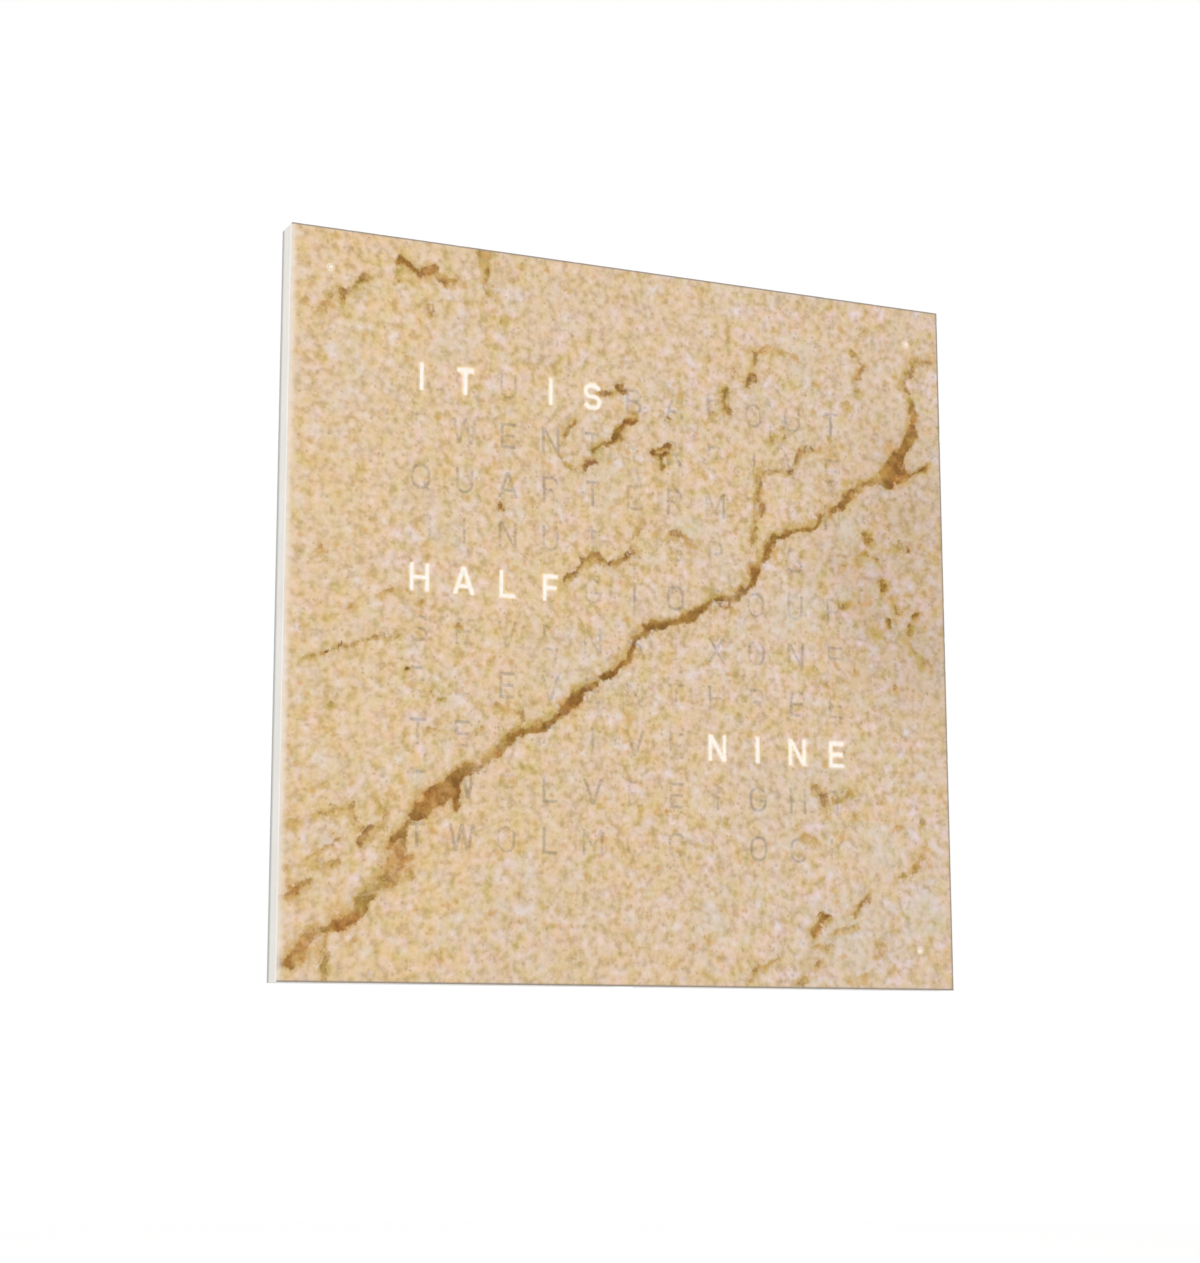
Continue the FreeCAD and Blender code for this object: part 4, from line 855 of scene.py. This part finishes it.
def stoneMaterial(name, isLetter):
    material, tree, shader = newMaterial(name, Specular_IOR_Level=0.35)
    place = objectPlace(tree)
    grains = useGroup(tree, sandGroup, Grain_Size=stoneFinish["grainSize"])
    color = grains["Color"]
    if isLetter:
        amount = noise(place, 330.0, 2.0, 0.6) + noise(place, 26.0)
        amount = spread(amount, 0.80, 1.18, *stoneFinish["letterStrength"])
        amount = amount * spread(attribute(tree, "inner"), 0.0, 1.0, 0.15, 1.0)
        color = mixed(amount, color, stoneFinish["letterShade"], "MULTIPLY")
    cracks = useGroup(tree, crackGroup, Color=color)
    color = cracks["Color"]
    if not isLetter:
        right, _, up = parts(place)
        # the left edge is paler, fading out 5 mm in
        paleLeftBand = spread(right, stoneFinish["rimReach"] * mm - half, -half, 0.0, 0.75)
        color = mixed(paleLeftBand, color, stoneFinish["rim"])
        # painted shade: the right, top and bottom edges darken to a grey line, as of the cut edge in shadow
        outer = calc("MAXIMUM", calc("MAXIMUM", right, up), up * -1.0)
        shaded = spread(outer, *(half - reach * mm for reach in stoneFinish["paintedShadeReach"]), 0.0, 0.85)
        color = mixed(shaded, color, stoneFinish["paintedShadeRim"])
        near = calc("POWER", attribute(tree, "glow"), 2.0)
        feed(shader, Emission_Color=mixed(near, (0, 0, 0, 1), stoneFinish["glow"]),
             Emission_Strength=stoneFinish["glowStrength"])
    rough = spread(noise(place, 700.0), 0.3, 0.7, *stoneFinish["roughness"])
    feed(shader, Base_Color=color, Roughness=rough, Normal=bumped(grains["Height"] + cracks["Height"]))
    return material


# Lit inlays: colour, a second colour in its clouds, light, both at a stroke's edge, strength of the light
litFinishes = {
    "lit_letters": {"color": (227, 221, 211), "cloud": (217, 209, 198), "light": (252, 247, 240),
                    "edge": (226, 216, 202), "strength": 0.24},
    "lit_dots": {"color": (224, 214, 204), "cloud": (214, 202, 190), "light": (252, 240, 234),
                 "edge": (206, 180, 148), "strength": 0.20},
}


def litMaterial(name, color, cloud, light, edge, strength):
    # opal inlay, brightest over its lamp
    material, tree, shader = newMaterial(name, Roughness=0.5, Specular_IOR_Level=0.3,
                                         Emission_Strength=strength)
    place = objectPlace(tree)
    base = ramp(noise(place, 420.0, 3.0), [(0.3, cloud), (0.6, color)])
    inner = spread(attribute(tree, "inner"), 0.0, 1.0)
    dim = tuple(channel / 2 for channel in screenColor(*edge))
    feed(shader, Base_Color=mixed(inner, edge, base), Emission_Color=mixed(inner, dim, light),
         Normal=bumped(noise(place, 1400.0), 0.02 * mm))
    return material


sandstone = stoneMaterial("sandstone", False)
thinStone = stoneMaterial("plain_letters", True)
litOpal = {name: litMaterial(name, **values) for name, values in litFinishes.items()}

stoneMesh, stoneTree = makeStone()
newPiece("sandstone_face", stoneMesh, "stone_face", sandstone, ["stone_counters"])
print("stone done:", len(stoneMesh.polygons), "faces")
for nodeName in plainNodes:
    newPiece(nodeName + "_inlay", makeLetters(nodeName, stoneTree), nodeName, thinStone)
for nodeName in litNodes:
    finish = litOpal["lit_dots" if "dot" in nodeName else "lit_letters"]
    newPiece(nodeName + "_inlay", makeLetters(nodeName, stoneTree), nodeName, finish)
print("letters done")

# Shader groups for the frame and the parts inside it


def makeWearGroup():
    # how worn an edge is: where the rounded normal leaves the flat one, broken up by noise
    tree, given, out = newGroup("edgeWear", [("Reach", 0.4), ("Breakup", 400.0)], ["Mask"])
    rounded = put(tree, "Bevel", {"Radius": given["Reach"] * mm}, samples=6)
    turn = vector("DOT_PRODUCT", rounded, put(tree, "NewGeometry").other("True Normal")).other("Value")
    breakup = spread(noise(objectPlace(tree), given["Breakup"], 3.0), 0.36, 0.66)
    feed(out, Mask=spread(calc("SUBTRACT", 1.0, turn), 0.01, 0.22) * breakup)
    return tree


def makeSkinGroup():
    # the fine skin of lacquer or moulded plastic: a slow cloud, handling marks and a height in mm
    tree, given, out = newGroup("fineSkin", [("Grain Size", 0.8), ("Depth", 0.01)],
                                ["Cloud", "Marks", "Height"])
    place = objectPlace(tree)
    grain = noise(place, calc("DIVIDE", 1000.0, given["Grain Size"]))
    smear = vector("MULTIPLY", place, (60.0, 60.0, 24.0))
    feed(out, Cloud=spread(noise(place, 22.0, 4.0, 0.55), 0.32, 0.68), Height=grain * given["Depth"],
         Marks=spread(noise(smear, 1.0, 5.0, 0.68, 0.6), 0.52, 0.74))
    return tree


def makeBrushGroup():
    # fine parallel lines: the larger a number of Across, the closer the lines along that axis
    tree, given, out = newGroup("brushedLines", [("Across", (20.0, 1500.0, 1500.0))], ["Lines", "Height"])
    lines = noise(vector("MULTIPLY", objectPlace(tree), given["Across"]), 1.0, 3.0, 0.65)
    feed(out, Lines=spread(lines, 0.3, 0.7), Height=lines * 0.012)
    return tree


def makeTracksGroup():
    # a circuit board's tracks and pads under the solder mask
    tree, given, out = newGroup("boardTracks", [
        ("Mask Color", (0.01, 0.08, 0.03, 1.0)), ("Track Color", (0.02, 0.14, 0.05, 1.0)), ("Pitch", 1.6)],
        ["Color", "Pads", "Height"])
    right, back, up = parts(objectPlace(tree))
    up = back + up
    perMeter = calc("DIVIDE", 1000.0, given["Pitch"])
    tracks = 0.0
    for first, second, shift in ((right, up, 0.0), (up, right, 0.37)):
        flat = put(tree, "CombineXYZ", {0: first + shift, 1: second})
        bricks = putWith("TexBrick", {
            "Vector": flat, "Scale": perMeter, "Mortar Size": 0.07, "Mortar Smooth": 0.1,
            "Brick Width": 5.3, "Row Height": 1.0}, offset=0.37)
        wanted = spread(noise(flat, 55.0 + 20 * shift, 1.0), 0.44, 0.47)
        tracks = calc("MAXIMUM", tracks, bricks.other("Fac") * wanted)
    flat = put(tree, "CombineXYZ", {0: right, 1: up})
    pads = spread(cells(flat, perMeter * 0.4, 0.8, voronoi_dimensions="2D"), 0.15, 0.11)
    color = mixed(pads, mixed(tracks, given["Mask Color"], given["Track Color"]), (196, 190, 168))
    feed(out, Color=color, Pads=pads, Height=calc("MAXIMUM", tracks, pads) * 0.035)
    return tree


wearGroup = makeWearGroup()
skinGroup = makeSkinGroup()
brushGroup = makeBrushGroup()
tracksGroup = makeTracksGroup()


def skinned(name, grain, **values):
    # a material with the fine skin, of which the grain's size and depth are in mm
    material, tree, shader = newMaterial(name, **values)
    skin = useGroup(tree, skinGroup, Grain_Size=grain[0], Depth=grain[1])
    return material, tree, shader, skin


def dress(shader, skin, color, rough, relief=None, **values):
    # colour, roughness between two values, and height with a relief of its own where it has one
    height = relief + skin["Height"] if relief else skin["Height"]
    roughness = spread(skin["Marks"], 0, 1, *rough)
    feed(shader, Base_Color=color, Roughness=roughness, Normal=bumped(height), **values)


# Plastics and lacquers: colour, a second colour in its clouds, worn edges, roughness, and the grain's size
# and depth in mm; on the frame's back edge, a painted shade band, which begins and is full at these mm in
# depth
plastics = {
    "off_white_lacquer": {"color": (223, 219, 212), "cloud": (228, 224, 218), "edge": (238, 235, 230),
                          "rough": (0.32, 0.46), "grain": (1.1, 0.012),
                          "back": ((148, 149, 147), -6.2, -2.2)},
    "white_moulding": {"color": (232, 232, 227), "cloud": (238, 238, 234), "edge": (246, 246, 244),
                       "rough": (0.52, 0.66), "grain": (0.5, 0.010)},
    "lead_sheath": {"color": (92, 95, 100), "cloud": (104, 106, 110), "edge": (126, 128, 130),
                    "rough": (0.48, 0.62), "grain": (0.4, 0.008)},
    "chip_black": {"color": (30, 30, 31), "cloud": (40, 40, 41), "edge": (74, 74, 74),
                   "rough": (0.50, 0.68), "grain": (0.25, 0.010)},
    "black_moulding": {"color": (24, 24, 25), "cloud": (34, 34, 35), "edge": (70, 70, 70),
                       "rough": (0.42, 0.60), "grain": (0.5, 0.012)},
    "button_cap": {"color": (203, 201, 196), "cloud": (211, 209, 205), "edge": (226, 225, 222),
                   "rough": (0.44, 0.58), "grain": (0.35, 0.012)},
    "ferrite": {"color": (50, 50, 54), "cloud": (64, 63, 66), "edge": (98, 97, 99),
                "rough": (0.62, 0.80), "grain": (0.3, 0.030)},
}


def plasticMaterial(name, color, cloud, edge, rough, grain, back=None):
    material, tree, shader, skin = skinned(name, grain, Specular_IOR_Level=0.45)
    worn = useGroup(tree, wearGroup, Reach=0.35)["Mask"]
    base = mixed(worn * 0.6, mixed(skin["Cloud"], color, cloud), edge)
    # painted shade: a grey band along the frame's back edge, as of the shadow line where it meets the wall
    if back:
        backShadeColor, start, full = back
        depth = parts(objectPlace(tree))[1]
        base = mixed(spread(depth, start * mm, full * mm, 0.0, 0.9), base, backShadeColor)
    dress(shader, skin, base, rough)
    return material


# Metals: colour, a second colour in its clouds, bright edges, roughness, and how close their brushed lines
# lie along each axis
metals = {
    "keeper_steel": {"color": (176, 177, 180), "cloud": (196, 197, 199), "edge": (226, 226, 228),
                     "rough": (0.28, 0.42), "across": (900.0, 60.0, 900.0)},
    "bracket_steel": {"color": (170, 173, 176), "cloud": (192, 193, 192), "edge": (222, 223, 224),
                      "rough": (0.32, 0.50), "across": (1100.0, 1100.0, 50.0)},
    "zinc_screws": {"color": (182, 185, 188), "cloud": (204, 204, 200), "edge": (232, 232, 232),
                    "rough": (0.26, 0.42), "across": (700.0, 700.0, 700.0)},
    "magnet_nickel": {"color": (200, 197, 190), "cloud": (212, 209, 203), "edge": (236, 234, 230),
                      "rough": (0.14, 0.26), "across": (500.0, 500.0, 500.0)},
    "brass_spacers": {"color": (198, 158, 84), "cloud": (212, 174, 104), "edge": (236, 208, 150),
                      "rough": (0.24, 0.38), "across": (100.0, 2600.0, 100.0)},
    "cell_steel": {"color": (192, 192, 190), "cloud": (206, 206, 204), "edge": (234, 234, 233),
                   "rough": (0.20, 0.34), "across": (1600.0, 90.0, 90.0)},
    "back_sheet": {"color": (202, 203, 204), "cloud": (210, 211, 211), "edge": (232, 232, 233),
                   "rough": (0.36, 0.50), "across": (14.0, 1900.0, 1900.0)},
}


def metalMaterial(name, color, cloud, edge, rough, across):
    material, tree, shader, skin = skinned(name, (0.6, 0.004), Metallic=1.0)
    lines = useGroup(tree, brushGroup, Across=across)
    worn = useGroup(tree, wearGroup, Reach=0.3)["Mask"]
    base = tinted(mixed(skin["Cloud"], color, cloud), lines["Lines"],
                  [(0, (0.9, 0.9, 0.9)), (1, (1.03, 1.03, 1.03))])
    marks = lines["Lines"] * 0.5 + skin["Marks"] * 0.5
    dress(shader, skin | {"Marks": marks}, mixed(worn, base, edge), rough, lines["Height"])
    return material


# Opal sheet; how close its saw marks lie along each axis
opal = {"color": (234, 235, 231), "cloud": (240, 240, 237), "rough": (0.30, 0.52),
        "saw": (1300.0, 30.0, 1300.0)}


def opalMaterial():
    # polished faces and sawn edges
    material, tree, shader, skin = skinned("opal_sheet", (2.0, 0.006), Specular_IOR_Level=0.5)
    saw = useGroup(tree, brushGroup, Across=opal["saw"])
    color = mixed(skin["Cloud"], opal["color"], opal["cloud"])
    color = tinted(color, saw["Lines"], [(0, (0.95, 0.95, 0.95)), (1, (1, 1, 1))])
    dress(shader, skin | {"Marks": saw["Lines"]}, color, opal["rough"], saw["Height"])
    return material


# Circuit boards: colours of the solder mask and of the tracks under it, and the tracks' pitch in mm
boards = {
    "green_board": {"mask": (18, 78, 48), "track": (34, 104, 66), "pitch": 1.5},
    "lamp_boards": {"mask": (228, 229, 225), "track": (216, 219, 213), "pitch": 3.2},
}


def boardMaterial(name, mask, track, pitch):
    material, tree, shader, skin = skinned(name, (0.7, 0.006))
    tracks = useGroup(tree, tracksGroup, Mask_Color=mask, Track_Color=track, Pitch=pitch)
    dress(shader, skin, tracks["Color"], (0.28, 0.42), tracks["Height"], Metallic=tracks["Pads"] * 0.8)
    return material


# Lamps on the boards: white package, gel in two shades, and what shines
lamps = {
    "body": (234, 233, 228),
    "gel": (226, 196, 74),
    "gelDeep": (206, 168, 48),
    "well": (0.18, 0.26),       # mm behind the package's front, where the gel begins and ends
    "light": (255, 240, 206),
    "strength": 0.9,            # of the light
    "beside": 5.0,              # mm beside a lit word, up to which its lamps shine
    "darkCorner": -0.3,         # m: the corner lamp whose x and z together are less is off
}


def lampMaterial(node):
    # white package with a yellow gel well in its front, which shines where the mesh says so
    material, tree, shader, skin = skinned(node, (0.3, 0.006), Specular_IOR_Level=0.5,
                                           Emission_Strength=lamps["strength"])
    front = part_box(node)[0].y
    behind = spread(parts(objectPlace(tree))[1], *(front + depth * mm for depth in lamps["well"]))
    facing = parts(put(tree, "NewGeometry").other("Normal"))[1]
    gel = behind * spread(facing, -0.6, -0.9)
    gelColor = mixed(skin["Cloud"], lamps["gel"], lamps["gelDeep"])
    light = mixed(gel * attribute(tree, "lit"), (0, 0, 0, 1), lamps["light"])
    feed(shader, Base_Color=mixed(gel, lamps["body"], gelColor), Roughness=spread(gel, 0, 1, 0.42, 0.16),
         Emission_Color=light, Normal=bumped(skin["Height"]))
    return material


# Flat cable: pitch of its wires and depth of the grooves between them, in mm; the sheath's colour and the
# painted shade in its grooves
ribbon = {"pitch": 1.27, "relief": 0.25, "color": (92, 95, 100), "grooveShade": (66, 68, 72)}


def ribbonMaterial():
    # a row of round wires under one sheath
    material, tree, shader, skin = skinned("ribbon_cables", (0.4, 0.008), Specular_IOR_Level=0.45)
    across = calc("PINGPONG", parts(objectPlace(tree))[0], ribbon["pitch"] / 2 * mm)
    wire = spread(across, 0, ribbon["pitch"] / 3 * mm)
    # painted shade: the grooves between the wires are darker
    color = mixed(wire, ribbon["grooveShade"], ribbon["color"])
    dress(shader, skin, color, (0.46, 0.60), wire * ribbon["relief"])
    return material


def lensMaterial():
    material, _, shader, skin = skinned("clear_lens", (1.5, 0.003), IOR=1.49, Transmission_Weight=1.0)
    dress(shader, skin, mixed(skin["Cloud"], (244, 247, 250), (250, 252, 253)), (0.03, 0.12))
    return material


# Winding of the receiver's coil, in mm from the bobbin's middle
winding = {"radius": 3.4, "inner": 2.56, "wire": 0.4, "half": 11.0, "color": (188, 104, 58),
           "dark": (138, 66, 34), "bobbin": (214, 203, 178)}


def windingMaterial():
    # enamelled copper wire, darker where turns are dirty, between the cheeks of a moulded bobbin
    material, tree, shader, skin = skinned("copper_winding", (0.5, 0.004), Coat_Roughness=0.2)
    wire = calc("LESS_THAN", calc("ABSOLUTE", parts(objectPlace(tree))[0]), (winding["half"] - 0.01) * mm)
    copper = mixed(skin["Marks"], winding["color"], winding["dark"])
    color = mixed(wire, winding["bobbin"], copper)
    dress(shader, skin, color, (0.26, 0.42), Metallic=wire * 0.9, Coat_Weight=wire)
    return material


materialOf = {name: plasticMaterial(name, **values) for name, values in plastics.items()}
materialOf |= {name: metalMaterial(name, **values) for name, values in metals.items()}
materialOf |= {name: boardMaterial(name, **values) for name, values in boards.items()}
materialOf |= {node: lampMaterial(node) for node in ("matrix_lamps", "corner_lamps")}
materialOf |= {"opal_sheet": opalMaterial(), "clear_lens": lensMaterial(),
               "copper_winding": windingMaterial(), "ribbon_cables": ribbonMaterial()}
print("materials done")

# Pieces with eased edges, one for every CAD node behind the stone: mm of easing for each slot
easing = {
    "off_white_lacquer": 0.18, "opal_sheet": 0.15, "back_sheet": 0.12, "bracket_steel": 0.12,
    "button_cap": 0.15, "white_moulding": 0.12, "lamp_boards": 0.08, "green_board": 0.08,
    "chip_black": 0.08, "black_moulding": 0.15, "zinc_screws": 0.06, "keeper_steel": 0.1,
    "magnet_nickel": 0.12, "brass_spacers": 0.08, "lamp_packages": 0.05, "cell_steel": 0.05,
    "ferrite": 0.15,
}
# Degrees between two faces: below the first they merge, above the second their edge is eased, and below the
# third they look round
turns = {"flat": 0.3, "sharp": 38, "round": 50}


def takeWinding(bm):
    # only the bobbin's two cheeks stay, closed where the smooth winding was cut away
    inside = (winding["half"] + 0.02) * mm
    for side in (-1, 1):
        geom = list(bm.verts) + list(bm.edges) + list(bm.faces)
        bmesh.ops.bisect_plane(bm, geom=geom, plane_co=(side * inside, 0, 0), plane_no=(side, 0, 0),
                               dist=1e-7)
    middle = [face for face in bm.faces if abs(face.calc_center_median().x) < inside - 1e-6]
    bmesh.ops.delete(bm, geom=middle, context="FACES")
    weld(bm)
    for side in (-1, 1):
        rim = [edge for edge in bm.edges if edge.is_boundary and edge.verts[0].co.x * side > 0]
        bmesh.ops.triangle_fill(bm, edges=rim, use_beauty=True)
    turnOutward(bm)


def addWinding(bm):
    # turn beside turn of round wire
    low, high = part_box("antenna_coil")
    wire, steps, around = winding["wire"], 6, 48
    end = winding["half"] + 0.3
    profile = [(-end, winding["inner"])]
    for i in range(round(2 * end / wire) * steps + 1):
        bow = math.sqrt(max(0, 1 - (2 * (i % steps) / steps - 1) ** 2))
        profile.append((-end + i * wire / steps, winding["radius"] - wire / 2 * (1 - bow)))
    profile.append((profile[-1][0], winding["inner"]))
    rings = [[bm.verts.new((x * mm, (low.y + high.y) / 2 + radius * mm * math.cos(turn),
                            (low.z + high.z) / 2 + radius * mm * math.sin(turn)))
              for turn in (2 * math.pi * k / around for k in range(around))] for x, radius in profile]
    for first, second in zip(rings, rings[1:] + rings[:1]):
        for k in range(around):
            bm.faces.new((first[k - 1], first[k], second[k], second[k - 1]))
    turnOutward(bm)


def easedMesh(node, reach):
    # a copy of a CAD node's mesh with its sharp edges eased and its round faces smooth
    bm = bmesh.new()
    bm.from_mesh(frame["nodes"][node].data)
    if node == "antenna_coil":
        takeWinding(bm)
    weld(bm)
    flat, sharpFrom, roundTo = (math.radians(turns[name]) for name in ("flat", "sharp", "round"))
    bmesh.ops.dissolve_limit(bm, angle_limit=flat, verts=list(bm.verts), edges=list(bm.edges))
    sharp = [edge for edge in bm.edges if len(edge.link_faces) == 2 and edge.calc_face_angle() > sharpFrom]
    if reach:
        bmesh.ops.bevel(bm, geom=sharp, offset=reach * mm, offset_type="OFFSET", segments=2, profile=0.5,
                        affect="EDGES", clamp_overlap=False)
    if node == "antenna_coil":
        addWinding(bm)
    # every corner takes the direction of the faces that turn little from its own, the larger the more
    bm.normal_update()
    normals, near = [], math.cos(roundTo)
    for face in bm.faces:
        face.smooth = True
        for loop in face.loops:
            close = [other for other in loop.vert.link_faces if other.normal.dot(face.normal) > near]
            pull = sum((other.normal * other.calc_area() for other in close), Vector())
            normals.append(pull.normalized())
    mesh = meshFrom(bm, node + "_eased")
    mesh.normals_split_custom_set(normals)
    return mesh


def lightLamps(mesh, node):
    # marks the lamps behind the lit words, or all but one of those behind the minute dots
    x, z = np.array([(vertex.co.x, vertex.co.z) for vertex in mesh.vertices]).T
    lit = x + z > lamps["darkCorner"]
    if node == "matrix_lamps":
        margin = lamps["beside"] * mm
        lit = sum((low.x - margin < x) & (x < high.x + margin) & (low.z < z) & (z < high.z)
                  for low, high in litBoxes) > 0
    keepFields(mesh, {"lit": lit})


for nodeName, slotName in slotOf.items():
    finish = materialOf.get(nodeName, materialOf.get(slotName))
    if finish:
        mesh = easedMesh(nodeName, easing.get(slotName, 0))
        if nodeName in ("matrix_lamps", "corner_lamps"):
            lightLamps(mesh, nodeName)
        newPiece(nodeName + "_eased", mesh, nodeName, finish)

# Legs of the controller's chips, in mm: x, z, width, height, legs along a side, their pitch, and whether
# all four sides have them; a leg's width, and its bent outline, out from the package and before the board
chips = {
    "places": [(-14, 0, 10, 10, 9, 0.8, True), (2, 2, 5, 4, 4, 1.0, False)]
    + [(x, 0, 8, 6, 7, 1.0, False) for x in (16, 30, 44)],
    "leg": 0.32,
    "bend": [(-0.1, 0.66), (0.24, 0.66), (0.36, 0.14), (0.68, 0.14),
             (0.68, 0.0), (0.26, 0.0), (0.14, 0.53), (-0.1, 0.53)],
}


def addLeg(bm, foot, out, beside):
    # one leg: its outline drawn twice, joined all round and closed at both ends
    ends = []
    for edge in (-1, 1):
        start = foot + beside * chips["leg"] / 2 * edge
        outline = [start + out * away - Vector((0, up, 0)) for away, up in chips["bend"]]
        ends.append([bm.verts.new(point * mm) for point in outline])
    first, second = ends
    for k in range(len(first)):
        bm.faces.new((first[k - 1], first[k], second[k], second[k - 1]))
    for end in ends:
        for corners in ((0, 1, 6, 7), (1, 2, 5, 6), (2, 3, 4, 5)):
            bm.faces.new([end[corner] for corner in corners])


def chipLegs():
    low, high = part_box("controller_board")
    middle = (low.z + high.z) / 2 / mm
    bm = bmesh.new()
    for x, z, width, height, count, pitch, allRound in chips["places"]:
        sides = [(Vector((0, 0, 1)), height), (Vector((1, 0, 0)), width)]
        for out, size in sides if allRound else sides[:1]:
            for away in (out, -out):
                beside = Vector((away.z, 0, away.x))
                for i in range(count):
                    foot = Vector((x, low.y / mm, z + middle)) + away * size / 2
                    addLeg(bm, foot + beside * pitch * (i - (count - 1) / 2), away, beside)
    turnOutward(bm)
    return meshFrom(bm, "chip_legs")


newPiece("chip_legs", chipLegs(), "board_screws", materialOf["zinc_screws"], replaces=False)
print("frame and inner parts done")
